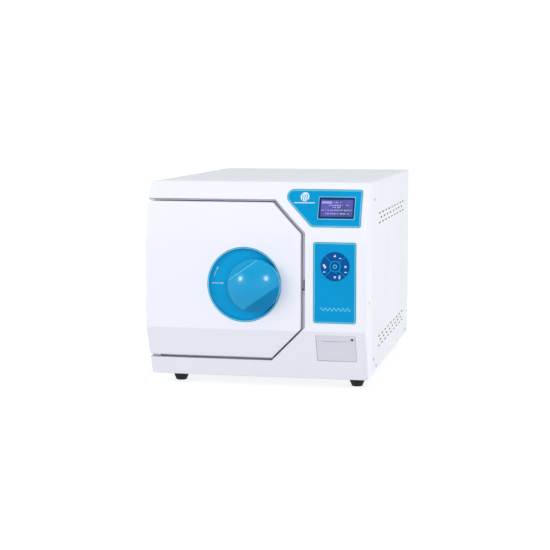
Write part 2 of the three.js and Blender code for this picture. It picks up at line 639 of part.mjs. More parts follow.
function knobSpindle() {
  const shaft = turned("y", [[0, -9.5], [SPINDLE_RADIUS, -9.5], [SPINDLE_RADIUS, 11], [8.5, 11], [8.5, 16],
    [SPINDLE_RADIUS, 16], [SPINDLE_RADIUS, BEAM.back - GAP], [0, BEAM.back - GAP]]);
  return join(shaft, prism("y", gearOutline(), GEAR.front, GEAR.back));
}

function lockBolt() {
  const { module } = GEAR;
  const depthSpan = [GEAR.front, GEAR.back];
  const barLow = RACK_Z + 1.2 * module;
  const barHigh = barLow + BOLT.bar;
  const pitch = Math.PI * module;
  const teeth = [];
  for (let i = -5; i <= 1; i++) {
    const x = KNOB.x + i * pitch;
    teeth.push(prism("y", polygon([[x - 0.42, RACK_Z - 0.85 * module], [x + 0.42, RACK_Z - 0.85 * module],
      [x + 1.6, barLow + 0.5], [x - 1.6, barLow + 0.5]]), GEAR.front, GEAR.back));
  }
  const bar = block([BOLT.left, BOLT.shoulder + 24], depthSpan, [barLow, barHigh]);
  const shoulder = block([BOLT.shoulder, BOLT.shoulder + 24], depthSpan, [BOLT.low, barHigh]);
  const tip = prism("z", polygon([[BOLT.shoulder + 20, GEAR.front], [BOLT.tip - 2, GEAR.front],
    [BOLT.tip, GEAR.front + 2], [BOLT.tip, GEAR.back - 2], [BOLT.tip - 2, GEAR.back],
    [BOLT.shoulder + 20, GEAR.back]]), BOLT.low, BOLT.high);
  return join(bar, shoulder, tip, ...teeth);
}

function boltGuide() {
  const { left, right, wall, play } = GUIDE;
  const barLow = RACK_Z + 1.2 * GEAR.module;
  const body = block([left, right], [GEAR.front - 3, BEAM.front - GAP],
    [barLow - wall, barLow + BOLT.bar + wall]);
  const tunnel = block([left - CUT, right + CUT], [GEAR.front - play, GEAR.back + play],
    [barLow - play, barLow + BOLT.bar + play]);
  return cut(body, tunnel);
}

function strikePlate() {
  const left = DOOR.right + DOOR_GAP.right + WALL + GAP;
  const plate = block([left, left + STRIKE.thickness], [STRIKE.front, STRIKE.back],
    [BOLT.low - STRIKE.end, BOLT.high + STRIKE.end]);
  const slot = block([left - CUT, left + CUT], [GEAR.front - 1, GEAR.back + 1],
    [BOLT.low - 1, BOLT.high + 1]);
  return cut(plate, slot);
}

// ---------------------------------------------------------------- display and keypad

function displayPanel() {
  const skin = cut(
    prism("x", frontProfile(-0.8, 0, CASE_HEIGHT - 5, 60), -CASE_WIDTH, CASE_WIDTH, { curveSegments: 9 }),
    prism("x", frontProfile(1.2, -CUT, CASE_HEIGHT + 5, 60 + CUT), -2 * CASE_WIDTH, 2 * CASE_WIDTH,
      { curveSegments: 9 }),
  );
  return cut(common(skin, prism("y", displayOutline(0), -CUT, 58)), inDisplay(lcdOpening(GAP)));
}

function displayBezel() {
  const { width, height, glassWidth, glassHeight } = LCD;
  const body = prism("y", roundedRect(-width / 2, -height / 2, width / 2, height / 2, 1.5), 0, LCD.depth,
    { curveSegments: 3 });
  const well = block([-glassWidth / 2, glassWidth / 2], [-1, LCD_WELL], [-glassHeight / 2, glassHeight / 2]);
  return cut(body, well);
}

function displayWindow() {
  const [w, h] = [LCD.glassWidth / 2 - GAP, LCD.glassHeight / 2 - GAP];
  return block([-w, w], [LCD_WELL - GAP - 1.4, LCD_WELL - GAP], [-h, h]);
}

function controlPanel() {
  const { left, right, bottom, top, corner } = KEYPAD;
  const sheet = prism("y", roundedRect(left, bottom, right, top, corner), -0.6, 2.1);
  return cut(sheet, rod("y", KEY.outer + 0.8, -CUT, 1.1, [KEYPAD.x, KEYPAD.z], 36));
}

// One of four keys around the centre, made at the top and turned into its place.
function arcKey(quarterTurns) {
  const disc = ring("y", KEY.inner, KEY.outer, KEY.front, KEY.back, [0, 0], 36);
  const reach = 2 * KEY.outer;
  const wedge = prism("y", polygon([[0, KEY.slit], [reach, reach + KEY.slit], [-reach, reach + KEY.slit]]),
    KEY.front - 1, KEY.back + 1);
  return turn(common(disc, wedge), "y", 90 * quarterTurns, [0, 0, 0]);
}

function centreKey() {
  return turned("y", [[0, KEY.front], [KEY.centre - 0.6, KEY.front], [KEY.centre, KEY.front + 0.6],
    [KEY.centre, KEY.back], [0, KEY.back]], [0, 0], 32);
}

// ---------------------------------------------------------------- printer

const ROLL = { radius: 14, half: 28, y: 21, z: -6 };
const LID = { half: 38, bottom: -28.7, front: 1, back: 4 };
const BUTTON = { x: 32.5, z: 21.2, radius: 2.4 };

function printerBody() {
  const half = PRINTER.width / 2;
  const high = PRINTER.height / 2;
  const strip = block([-half, half], [1, 12], [PRINTER.slot, high]);
  const shell = block([-half + 1, half - 1], [5.2, PRINTER.depth], [-high + 1, high - 0.5]);
  const bay = block([-34, 34], [0, 40], [-24, 12]);
  const buttonHole = rod("y", BUTTON.radius + 0.4, -CUT, 8, [BUTTON.x, BUTTON.z], 20);
  return cut(join(strip, shell), bay, buttonHole);
}

function printerLid() {
  const { half, bottom, front, back } = LID;
  const top = PRINTER.slot - 0.6;
  const outline = polygon([[front + 1, bottom], [back - 1, bottom], [back, bottom + 1], [back, top],
    [front, top], [front, bottom + 1]]);
  return prism("x", outline, -half, half);
}

// ---------------------------------------------------------------- inside

const BOARD = { left: 112, right: 214, front: 45, back: 46.6, bottom: 112, top: 366 };
const SOLDER = 0.6; // how far a component reaches into the board
const COMPONENTS = [ // left, right, bottom, top and height behind the board
  [120, 160, 300, 340, 11.4],
  [170, 205, 310, 335, 7.4],
  [120, 142, 240, 285, 19.4],
  [150, 172, 240, 285, 19.4],
  [180, 202, 240, 285, 19.4],
  [124, 200, 190, 215, 9.4],
  [124, 204, 125, 140, 13.4],
];

function controlBoard() {
  const board = block([BOARD.left, BOARD.right], [BOARD.front, BOARD.back], [BOARD.bottom, BOARD.top]);
  const components = COMPONENTS.map(([left, right, bottom, top, height]) =>
    block([left, right], [BOARD.back - SOLDER, BOARD.back + height], [bottom, top]));
  return join(board, ...components);
}

const UNIT_BASE = PAN_TOP + GAP; // underside of what stands on the base pan
const SUPPLY = { left: 112, right: 212, front: 96, back: 160, top: 92 };
const SUPPLY_FIN = { count: 7, inset: 6, pitch: 13, width: 6, reach: 6, end: 8 };

function powerSupply() {
  const { left, right, front, back, top } = SUPPLY;
  const box = block([left, right], [front, back], [UNIT_BASE, top]);
  const fins = Array.from({ length: SUPPLY_FIN.count }, (_, i) => {
    const x = left + SUPPLY_FIN.inset + i * SUPPLY_FIN.pitch;
    return block([x, x + SUPPLY_FIN.width], [front - SUPPLY_FIN.reach, front + 1],
      [UNIT_BASE + SUPPLY_FIN.end, top - SUPPLY_FIN.end]);
  });
  return join(box, ...fins);
}

const GENERATOR = { x: 164, y: 216, foot: 40, radius: 44, outlet: 10, top: 164 };
const GENERATOR_RIM = { radius: 48, low: 132, high: 142 };

function steamGenerator() {
  const { x, y, foot: footRadius, radius, outlet, top } = GENERATOR;
  const { radius: rim, low, high } = GENERATOR_RIM;
  const profile = [[0, UNIT_BASE], [footRadius, UNIT_BASE], [footRadius, UNIT_BASE + 4],
    [radius, UNIT_BASE + 4], [radius, low], [rim, low], [rim, high], [footRadius, high],
    [footRadius - 10, high + 10], [outlet, top - 8], [outlet, top], [0, top]];
  return turned("z", profile, [x, y], 24);
}

const PUMP = { x: 164, z: 60, front: 286, headFront: 370, back: 414, radius: 36, headHalf: [30, 34] };

function vacuumPump() {
  const { x, z, front, headFront, back, radius } = PUMP;
  const [halfWidth, halfHeight] = PUMP.headHalf;
  const motor = rod("y", radius, front, headFront, [x, z], 20);
  const endCap = rod("y", (2 * radius) / 3, front - 8, front + 2, [x, z]);
  const head = block([x - halfWidth, x + halfWidth], [headFront, back], [z - halfHeight, z + halfHeight]);
  const plinth = block([x - radius, x + radius], [front + 6, back - 4], [UNIT_BASE, z / 2]);
  return join(motor, head, plinth, endCap);
}

const CONDENSER = { left: 74, right: 186, front: 604, back: 646, bottom: 230, top: 340, core: 18 };
const CONDENSER_FIN = { count: 12, pitch: 9.6, thickness: 2.5 };

function condenser() {
  const { left, right, front, back, bottom, top, core } = CONDENSER;
  const { count, pitch, thickness } = CONDENSER_FIN;
  const middle = (front + back) / 2;
  const body = block([left, right], [middle - core / 2, middle + core / 2], [bottom + 2, top - 2]);
  const fins = Array.from({ length: count }, (_, i) =>
    block([left + 2 + i * pitch, left + 2 + i * pitch + thickness], [front, back], [bottom, top]));
  return join(body, ...fins);
}

function fanHousing() {
  const half = FAN.size / 2;
  const centre = [FAN.x, FAN.z];
  const body = block([FAN.x - half, FAN.x + half], [FAN.front, FAN.back], [FAN.z - half, FAN.z + half]);
  const throat = rod("y", FAN.throat, 0, CASE_DEPTH + CUT, centre, 28);
  const reach = FAN.throat + 2;
  const arm = block([FAN.x - reach, FAN.x + reach], [FAN.front, FAN.front + 3], [FAN.z - 3, FAN.z + 3]);
  const arms = [0, 90].map((angle) => turn(arm, "y", angle, [FAN.x, FAN.front, FAN.z]));
  const mount = rod("y", FAN.hub - 2, FAN.front, FAN.front + 5, centre, 24);
  const axle = rod("y", FAN.axle, FAN.front, FAN.back - 10, centre);
  return join(cut(body, throat), ...arms, mount, axle);
}

const BLADE = { count: 7, pitch: 35, half: 11, front: 18, back: 20.5 };

function fanRotor() {
  const hub = cut(rod("y", FAN.hub, 8, 30, [0, 0]), rod("y", FAN.axle + GAP, 0, 32, [0, 0]));
  const blades = Array.from({ length: BLADE.count }, (_, i) => {
    const flat = block([FAN.hub - 3, FAN.rotor], [BLADE.front, BLADE.back], [-BLADE.half, BLADE.half]);
    const blade = turn(flat, "x", BLADE.pitch, [0, 19, 0]);
    return turn(blade, "y", (360 / BLADE.count) * i, [0, 0, 0]);
  });
  const outside = ring("y", FAN.rotor + 0.5, 2 * FAN.rotor, 0, CUT, [0, 0], 28);
  return cut(join(hub, ...blades), outside);
}

const TANK = { left: 106, right: 214, front: 432, back: 590, bottom: 62, top: 366, wall: 3 };
const NECK = { x: 160, y: 510, inner: 14, outer: 18, top: 374 };

function waterTank() {
  const { left, right, front, back, bottom, top, wall } = TANK;
  const box = block([left, right], [front, back], [bottom, top]);
  const inside = block([left + wall, right - wall], [front + wall, back - wall], [bottom + wall, top - wall]);
  const hole = rod("z", NECK.inner + 0.5, top - CUT / 2, top + CUT, [NECK.x, NECK.y]);
  const neck = ring("z", NECK.inner, NECK.outer, top - 2 * wall, NECK.top, [NECK.x, NECK.y], 16);
  return join(cut(box, inside, hole), neck);
}

function safetyValve() {
  const { inlet, pipe, body, cap, back } = VALVE;
  return turned("y", [[0, inlet], [pipe, inlet], [pipe, back - 72], [body, back - 68], [body, back - 22],
    [cap, back - 22], [cap, back - 6], [body - 1, back - 6], [body - 1, back], [0, back]],
  CHAMBER_AXIS, 16);
}

// The pipe leaves the generator's outlet upwards, runs back over the tank's side of the chamber
// and ends at the chamber's dished back.
function steamLine() {
  const route = new THREE.CatmullRomCurve3([
    new THREE.Vector3(GENERATOR.x, GENERATOR.y, GENERATOR.top + 2 * GAP),
    new THREE.Vector3(164, 218, 200),
    new THREE.Vector3(140, 240, 244),
    new THREE.Vector3(100, 300, 256),
    new THREE.Vector3(94, 400, 256),
    new THREE.Vector3(92, 520, 256),
    new THREE.Vector3(70, 585, 256),
    new THREE.Vector3(10, 600, 250),
    new THREE.Vector3(-40, 592, 248),
    new THREE.Vector3(-61, 575, 248),
    new THREE.Vector3(-62, 559, 248),
  ]);
  const section = new THREE.Shape();
  section.absarc(0, 0, 4, 0, 2 * Math.PI);
  return toSolid(new THREE.ExtrudeGeometry(section, { steps: 26, extrudePath: route, curveSegments: 4 }));
}

// ---------------------------------------------------------------- rear fittings

const ROCKER = { tilt: 10, x: 15, half: 6.2 }; // degrees either side of level, and its place in the inlet
const SOCKET = { left: -22, right: 4, half: 9, depth: 18, pins: [-17, -9, -1] };

function powerInlet() {
  const [flangeWidth, flangeHeight] = INLET.flange;
  const [bodyWidth, bodyHeight] = INLET.body;
  const outside = REAR_SHEET + 10;
  const flange = block([-flangeWidth, flangeWidth], [REAR_SHEET + GAP, REAR_SHEET + 4],
    [-flangeHeight, flangeHeight]);
  const body = block([-bodyWidth, bodyWidth], [-INLET.depth, REAR_SHEET + 1], [-bodyHeight, bodyHeight]);
  const socket = block([SOCKET.left, SOCKET.right], [-SOCKET.depth, outside], [-SOCKET.half, SOCKET.half]);
  const pins = SOCKET.pins.map((x) => block([x - 1, x + 1], [-SOCKET.depth - 2, -3], [-3, 3]));
  const rockerBay = block([ROCKER.x - 7, ROCKER.x + 7], [-14, outside], [-11, 11]);
  return join(cut(join(flange, body), socket, rockerBay), ...pins);
}

// The rocker's faces meet in a shallow V at its pivot line. It rests on its off side.
function powerSwitch() {
  const outline = polygon([[-3, -9.5], [5.2, -9.5], [3.6, 0], [5.2, 9.5], [-3, 9.5], [-7, 0]]);
  return turn(prism("x", outline, -ROCKER.half, ROCKER.half), "x", -ROCKER.tilt, [0, 0, 0]);
}

function drainValveBody() {
  const inside = rod("y", DRAIN.barrel - 1, -26, REAR_SHEET, [0, 0]);
  const shoulder = rod("y", DRAIN.barrel + 4, REAR_SHEET + GAP, 8, [0, 0]);
  const barrel = rod("y", DRAIN.barrel, REAR_SHEET, REAR_REACH + 5, [0, 0]);
  const spout = cut(rod("z", 6.5, -34, 0, [0, DRAIN.spout]), rod("z", 4, -40, -4, [0, DRAIN.spout]));
  const gland = rod("z", LEVER.stem, 0, 14, [0, DRAIN.spout]);
  return join(inside, shoulder, barrel, spout, gland);
}

const LEVER = { stem: 6, boss: 8, low: 9.6, high: 18, arm: 3.2, half: 4, reach: 44 };

function drainLever() {
  const { stem, boss, low, high, arm, half, reach } = LEVER;
  const cap = cut(rod("z", boss, low, high, [0, 0]), rod("z", stem + 0.4, low - 2, high - arm - 0.4, [0, 0]));
  return join(cap, block([half, reach], [-half, half], [high - arm, high]));
}

// ---------------------------------------------------------------- assembly

add("front_frame", frontFrame(), mouldedWhite);
add("wrap_cover", wrapCover(), paintedWhite);
add("base_pan", basePan(), steel);
add("rear_panel", rearPanel(), paintedWhite);
for (const [name, x, y] of FEET) add(name, foot(), blackRubber, root, [x, y, 0]);

add("pressure_vessel", pressureVessel(), steel);
add("chamber_cradle", chamberCradle(), steel);
add("heater_band", heaterBand(), heaterCopper);
const jacket = ring("y", JACKET.inner, JACKET.outer, JACKET.front, JACKET.back, CHAMBER_AXIS, ROUND);
add("insulation_jacket", jacket, insulation);
add("tray_rack", trayRack(), steel);
["tray_lower", "tray_middle", "tray_upper"].forEach((name, i) =>
  add(name, tray(), steel, root, [CHAMBER.x, 0, CHAMBER.z + TRAY_LEVELS[i]]));

const door = new THREE.Group();
root.add(door);
add("door_cover", doorCover(), mouldedWhite, door);
add("door_back_cover", doorBackCover(), paintedWhite, door);
add("door_beam", doorBeam(), steel, door);
add("pivot_block_lower", pivotBlock(), brass, door, [0, 0, PIVOTS.lower]);
add("pivot_block_upper", pivotBlock(), brass, door, [0, 0, PIVOTS.upper]);
add("pressure_plate", pressurePlate(), steel, door);
add("door_gasket", doorGasket(), silicone, door);
add("knob_dish", knobDish(), dishBlue, door);
add("dish_ring", dishRing(), ringCyan, door);
add("bolt_guide", boltGuide(), steel, door);
add("knob", knobSolid(), knobBlue, door, [KNOB.x, 0, KNOB.z]);
add("knob_spindle", knobSpindle(), steel, door, [KNOB.x, 0, KNOB.z]);
add("lock_bolt", lockBolt(), steel, door);

const lowerPin = turn(hingePin(), "x", 180, [0, 0, 0]);
add("hinge_pin_upper", hingePin(), steel, root, [HINGE.x, HINGE.y, DOOR.top + DOOR_GAP.level]);
add("hinge_pin_lower", lowerPin, steel, root, [HINGE.x, HINGE.y, DOOR.bottom - DOOR_GAP.level]);
add("strike_plate", strikePlate(), steel);

add("display_panel", displayPanel(), panelBlue);
add("display_bezel", displayBezel(), displayNavy, display);
add("display_window", displayWindow(), displayGlass, display);

add("control_panel", controlPanel(), panelBlue);
["key_up", "key_right", "key_down", "key_left"].forEach((name, i) =>
  add(name, arcKey(i), keyBlue, root, [KEYPAD.x, 0, KEYPAD.z]));
add("key_centre", centreKey(), keyBlue, root, [KEYPAD.x, 0, KEYPAD.z]);

add("printer_body", printerBody(), printerGrey, printer);
add("printer_lid", printerLid(), printerGrey, printer);
const paperRoll = rod("x", ROLL.radius, -ROLL.half, ROLL.half, [0, 0], 24);
const feedButton = rod("y", BUTTON.radius, 0.3, 6.6, [0, 0], 20);
add("paper_roll", paperRoll, paper, printer, [0, ROLL.y, ROLL.z]);
add("feed_button", feedButton, blackPlastic, printer, [BUTTON.x, 0, BUTTON.z]);

add("control_board", controlBoard(), boardGreen);
add("power_supply", powerSupply(), aluminium);
add("steam_generator", steamGenerator(), steel);
add("vacuum_pump", vacuumPump(), aluminium);
add("condenser", condenser(), aluminium);
add("fan_housing", fanHousing(), blackPlastic);
add("fan_rotor", fanRotor(), blackPlastic, root, [FAN.x, FAN.front, FAN.z]);
add("water_tank", waterTank(), tankWhite);
add("safety_valve", safetyValve(), brass);
add("steam_line", steamLine(), steel);

add("power_inlet", powerInlet(), blackPlastic, root, [INLET.x, REAR_Y, INLET.z]);
add("power_switch", powerSwitch(), blackPlastic, root, [INLET.x + ROCKER.x, REAR_Y, INLET.z]);
add("drain_valve_body", drainValveBody(), brass, root, [DRAIN.x, REAR_Y, DRAIN.z]);
add("drain_lever", drainLever(), brass, root, [DRAIN.x, REAR_Y + DRAIN.spout, DRAIN.z]);

export default root;
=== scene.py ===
"""Looks of the benchtop autoclave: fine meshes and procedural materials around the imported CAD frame.

Shapes are given in millimetres in the casing's own frame, as in the CAD: x from the middle of the casing,
y depth behind the flat middle of the front, z height above the casing's underside. to_row() turns such a
point into the row frame in metres.
"""

import math
import random

import bmesh
import bpy
import numpy as np
from mathutils import Matrix, Vector


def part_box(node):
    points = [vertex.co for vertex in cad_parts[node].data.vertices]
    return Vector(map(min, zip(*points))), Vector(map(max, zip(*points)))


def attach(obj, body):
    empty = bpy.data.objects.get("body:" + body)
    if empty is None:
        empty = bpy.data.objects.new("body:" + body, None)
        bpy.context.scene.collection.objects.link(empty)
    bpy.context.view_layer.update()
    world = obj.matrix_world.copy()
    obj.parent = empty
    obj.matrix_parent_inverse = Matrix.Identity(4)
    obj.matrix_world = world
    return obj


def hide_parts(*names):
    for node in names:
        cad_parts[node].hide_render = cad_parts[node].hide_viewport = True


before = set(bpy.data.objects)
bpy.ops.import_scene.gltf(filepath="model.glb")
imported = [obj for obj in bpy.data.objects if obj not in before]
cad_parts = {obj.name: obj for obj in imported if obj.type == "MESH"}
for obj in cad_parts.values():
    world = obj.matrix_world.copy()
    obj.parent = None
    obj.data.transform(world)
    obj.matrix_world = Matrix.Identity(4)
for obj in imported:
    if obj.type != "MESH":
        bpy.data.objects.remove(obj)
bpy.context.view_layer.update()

# ---------------------------------------------------------------- the casing's frame

MM = 0.001
KNOB_REACH = 42  # the knob stands this far out of the flat middle of the front
CASE_ORIGIN = Vector((0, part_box("knob")[0].y + KNOB_REACH * MM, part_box("wrap_cover")[0].z))


def to_row(point):
    return CASE_ORIGIN + Vector(point) * MM


def span(node):
    """A CAD node's lowest and highest corner in the casing's frame, in millimetres."""
    low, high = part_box(node)
    return (low - CASE_ORIGIN) / MM, (high - CASE_ORIGIN) / MM


def middle(node):
    low, high = span(node)
    return (low + high) / 2


def half_width(node):
    low, high = span(node)
    return (high.x - low.x) / 2


# ---------------------------------------------------------------- driving dimensions

FACET_TILT = math.radians(22.8)
CREASE_Z = 98.7
BULGE_Z = 265
BULGE_RADIUS = 176
WALL = 3
SHEET = 1.5
GAP = 0.3
SWEEP = 300  # cutters that cross the whole casing reach this far to each side

CASE_LOW, CASE_HIGH = span("front_frame")
COVER_LOW, COVER_HIGH = span("wrap_cover")
HALF_WIDTH = CASE_HIGH.x
CASE_HEIGHT = CASE_HIGH.z
FRAME_BACK = CASE_HIGH.y
FRAME_EDGE = 5

DOOR_LOW, DOOR_HIGH = span("door_cover")
DOOR_PROUD = 2
DOOR_GAP = {"level": 5.6, "right": 8, "upper": 7.2, "lower": 3.2}  # the last two along the cut corners
DOOR_EDGE = 3
DOOR_CORNER_TOP = 60
DOOR_CORNER_BOTTOM = 62.9
DOOR_CORNER_LEFT = 6
RECESS_DEPTH = 70

CHAMBER = middle("pressure_vessel")
CHAMBER_RADIUS = 125
CHAMBER_WALL = 3
CHAMBER_FRONT = span("pressure_vessel")[0].y
CHAMBER_BACK = 528
FLANGE_RADIUS = half_width("pressure_vessel")

DISH = middle("knob_dish")
DISH_RADIUS = half_width("knob_dish")
KNOB = middle("knob")
KNOB_RADIUS = half_width("knob")
KNOB_GRIP = 35
KNOB_SHELF = -22
KNOB_STEP = 38  # from the grip's axis up to the steep step
KNOB_SLOPE = 27.5  # from the axis down to where the slope starts
HINGE = middle("hinge_pin_upper")

DISPLAY_LOW, DISPLAY_HIGH = span("display_panel")
DISPLAY_SLANT = 417.2  # x + z along the inlay's slanting edge
DISPLAY_CORNER = 12
LCD_Z = 340
LCD_TILT = -math.asin((LCD_Z - BULGE_Z) / BULGE_RADIUS)
KEYPAD_LOW, KEYPAD_HIGH = span("control_panel")
KEYS = middle("key_centre")
KEY_OUTER = 28
KEY_INNER = 12
KEY_CENTRE = 8.6
KEY_SLIT = 1.7
PRINTER_Z = 62.9


# ---------------------------------------------------------------- outlines

def offset(outline, inset):
    """A closed outline, anticlockwise, moved inwards by the same distance all round."""
    points = np.array(outline, float)
    if inset == 0:
        return points
    before, after = points - np.roll(points, 1, 0), np.roll(points, -1, 0) - points
    inward = []
    for edge in (before, after):
        normal = np.stack([-edge[:, 1], edge[:, 0]], 1)
        inward.append(normal / np.maximum(np.linalg.norm(normal, axis=1, keepdims=True), 1e-9))
    bisector = inward[0] + inward[1]
    return points + bisector * (2 * inset / np.maximum((bisector**2).sum(1, keepdims=True), 0.2))


def rounded(corners, steps=5, closed=True):
    """An outline from corners (a, b, radius), each radius drawn as an arc of the same number of points."""
    points = [np.array(c[:2], float) for c in corners]
    made = []
    for i, (here, corner) in enumerate(zip(points, corners)):
        radius = corner[2] if len(corner) > 2 else 0
        if radius <= 0 or (not closed and i in (0, len(points) - 1)):
            made.append(here)
            continue
        to_before = points[i - 1] - here
        to_after = points[(i + 1) % len(points)] - here
        a, b = (v / np.linalg.norm(v) for v in (to_before, to_after))
        half = math.acos(np.clip(a @ b, -1, 1)) / 2
        reach = min(radius / math.tan(half), 0.49 * min(np.linalg.norm(to_before), np.linalg.norm(to_after)))
        true_radius = reach * math.tan(half)
        bisector = (a + b) / np.linalg.norm(a + b)
        centre = here + bisector * (true_radius / math.sin(half))
        start, end = here + a * reach - centre, here + b * reach - centre
        first = math.atan2(start[1], start[0])
        sweep = (math.atan2(end[1], end[0]) - first + math.pi) % (2 * math.pi) - math.pi
        for k in range(steps + 1):
            angle = first + sweep * k / steps
            made.append(centre + true_radius * np.array([math.cos(angle), math.sin(angle)]))
    return np.array(made)


def anticlockwise(outline):
    points = np.array(outline, float)
    x, y = points.T
    area = (x * np.roll(y, -1) - np.roll(x, -1) * y).sum()
    return points if area > 0 else points[::-1]


def rectangle(x0, x1, y0, y1, radius=0, steps=5):
    return rounded([(x0, y0, radius), (x1, y0, radius), (x1, y1, radius), (x0, y1, radius)], steps)


def arc(centre, radius, start, end, steps):
    """Points on an arc, with its angles in degrees."""
    angles = np.radians(np.linspace(start, end, steps + 1))
    return np.stack([centre[0] + radius * np.cos(angles), centre[1] + radius * np.sin(angles)], 1)


def polar(centre, radius, degrees):
    return arc(centre, radius, degrees, degrees, 1)[0]


def circle(centre, radius, steps):
    return arc(centre, radius, 0, 360, steps)[:-1]


def front_depth(z, inset=0):
    """Depth of the front at a height, for a surface that lies inset behind it."""
    crease = CREASE_Z + inset * math.tan(FACET_TILT / 2)
    if z < crease:
        return inset + (crease - z) * math.tan(FACET_TILT)
    if z <= BULGE_Z:
        return inset
    return BULGE_RADIUS - math.sqrt((BULGE_RADIUS - inset) ** 2 - (z - BULGE_Z) ** 2)


def front_profile(inset, low, high, back, ease=2.5, steps=36):
    """The front's side profile (y, z) between two heights, closed at a depth behind it."""
    crease = CREASE_Z + inset * math.tan(FACET_TILT / 2)
    bulge = [(front_depth(z, inset), z) for z in np.linspace(BULGE_Z, high, steps)[:-1]]
    corners = [(back, low, 0), (front_depth(low, inset), low, ease), (inset, crease, ease + 6)]
    corners += bulge + [(front_depth(high, inset), high, ease), (back, high, 0)]
    return rounded(corners)


def evenly(margin):
    return {"level": margin, "right": margin, "upper": margin, "lower": margin}


def wider(margins, more):
    return {side: margin + more for side, margin in margins.items()}


def door_outline(margins, open_left=False, ease=1.5, steps=5):
    """The door's outline (x, z), grown by margins above and below, at the right and at its two cut corners.

    Its left side may be left open past the casing's edge.
    """
    left = -HALF_WIDTH - 40 if open_left else DOOR_LOW.x - margins["level"]
    right = DOOR_HIGH.x + margins["right"]
    top, bottom = DOOR_HIGH.z + margins["level"], DOOR_LOW.z - margins["level"]
    upper_sum = DOOR_HIGH.x + DOOR_HIGH.z - DOOR_CORNER_TOP + margins["upper"] * math.sqrt(2)
    lower_lead = DOOR_HIGH.x - DOOR_LOW.z - DOOR_CORNER_BOTTOM + margins["lower"] * math.sqrt(2)
    corner = 0 if open_left else DOOR_CORNER_LEFT
    return rounded([
        (left, bottom, corner),
        (bottom + lower_lead, bottom, ease),
        (right, right - lower_lead, ease),
        (right, upper_sum - right, ease),
        (upper_sum - top, top, ease),
        (left, top, corner),
    ], steps)


def display_outline(inset=0):
    """The display inlay (x, z): a 45 degree edge along the door's corner and a rounded left end."""
    left, right, bottom, top = DISPLAY_LOW.x, DISPLAY_HIGH.x, DISPLAY_LOW.z, DISPLAY_HIGH.z
    nose = (left + top - DISPLAY_SLANT) / math.sqrt(2)
    corner = DISPLAY_CORNER
    return np.concatenate([
        arc((right - 4, bottom + 4), 4 - inset, -90, 0, 6),
        arc((right - 5, top - 5), 5 - inset, 0, 90, 6),
        arc((left + nose, top - nose), nose - inset, 90, 225, 16),
        arc((DISPLAY_SLANT - bottom + corner * (math.sqrt(2) - 1), bottom + corner), corner - inset, 225, 270, 8),
    ])


# ---------------------------------------------------------------- meshes

AXES = {"x": (2, 0, 1), "y": (0, 2, 1), "z": (0, 1, 2)}


def lay(a, b, along, axis):
    """A point from two coordinates across an axis, (y, z), (x, z) or (x, y), and one along it."""
    values = (a, b, along)
    return Vector([values[i] for i in AXES[axis]])


def make(name, points, faces, place=None):
    """A mesh object from points in the casing's frame, or in a local frame that place turns into it."""
    mesh = bpy.data.meshes.new(name)
    rows = [to_row(place @ Vector(p) if place else p) for p in points]
    mesh.from_pydata(rows, [], faces)
    obj = bpy.data.objects.new(name, mesh)
    bpy.context.scene.collection.objects.link(obj)
    bm = bmesh.new()
    bm.from_mesh(mesh)
    bmesh.ops.remove_doubles(bm, verts=bm.verts, dist=1e-7)
    bmesh.ops.recalc_face_normals(bm, faces=bm.faces)
    bm.to_mesh(mesh)
    bm.free()
    return obj


def loft(name, rings, place=None):
    """Skins rings that have the same number of points and closes both ends."""
    count = len(rings[0])
    points = [p for ring in rings for p in ring]
    last = (len(rings) - 1) * count
    faces = []
    for here in range(0, last, count):
        there = here + count
        faces += [(here + k, here + (k + 1) % count, there + (k + 1) % count, there + k) for k in range(count)]
    faces += [tuple(range(count)), tuple(range(last, last + count))]
    return make(name, points, faces, place)


def prism(name, outline, axis, low, high, edge=0, steps=3, place=None, edge_low=None):
    """An outline drawn along an axis, with its two ends' edges rounded."""
    outline = anticlockwise(outline)
    edges = (edge if edge_low is None else edge_low, edge)
    rings = []
    for end, (at, sign, radius) in enumerate([(low, 1, edges[0]), (high, -1, edges[1])]):
        count = steps if radius else 0
        side = []
        for k in range(count + 1):
            angle = math.pi / 2 * k / count if count else math.pi / 2
            drawn = offset(outline, radius * (1 - math.sin(angle)))
            side.append([lay(a, b, at + sign * radius * (1 - math.cos(angle)), axis) for a, b in drawn])
        rings += side if end == 0 else side[::-1]
    return loft(name, rings, place=place)


def lathe(name, profile, axis="y", centre=(0, 0), steps=96, place=None):
    """Turns a profile of (radius, place along the axis), closed or from the axis to the axis."""
    angles = np.linspace(0, 2 * math.pi, steps, endpoint=False)
    points, starts = [], []
    for radius, along in profile:
        starts.append((len(points), radius > 1e-6))
        ring = angles if radius > 1e-6 else [0]
        points += [lay(centre[0] + radius * math.cos(t), centre[1] + radius * math.sin(t), along, axis)
                   for t in ring]
    faces = []
    closed = starts[0][1]
    for i in range(len(profile) if closed else len(profile) - 1):
        (a, wide_a), (b, wide_b) = starts[i], starts[(i + 1) % len(profile)]
        for k in range(steps):
            n = (k + 1) % steps
            face = [a + k, a + n] if wide_a else [a]
            face += [b + n, b + k] if wide_b else [b]
            if len(face) > 2:
                faces.append(tuple(face))
    return make(name, points, faces, place)


def rod(name, axis, radius, low, high, centre, steps=48, edge=0, place=None):
    profile = rounded([(0, low), (radius, low, edge), (radius, high, edge), (0, high)], 3, closed=False)
    return lathe(name, profile, axis, centre, steps, place)


def block(name, xs, ys, zs, edge=0, place=None):
    return prism(name, rectangle(*xs, *zs, 1.1 * edge, 3), "y", *ys, edge, place=place)


def bake(obj):
    """Applies the modifiers to the mesh."""
    evaluated = obj.evaluated_get(bpy.context.evaluated_depsgraph_get())
    mesh = bpy.data.meshes.new_from_object(evaluated)
    obj.modifiers.clear()
    obj.data = mesh
    return obj


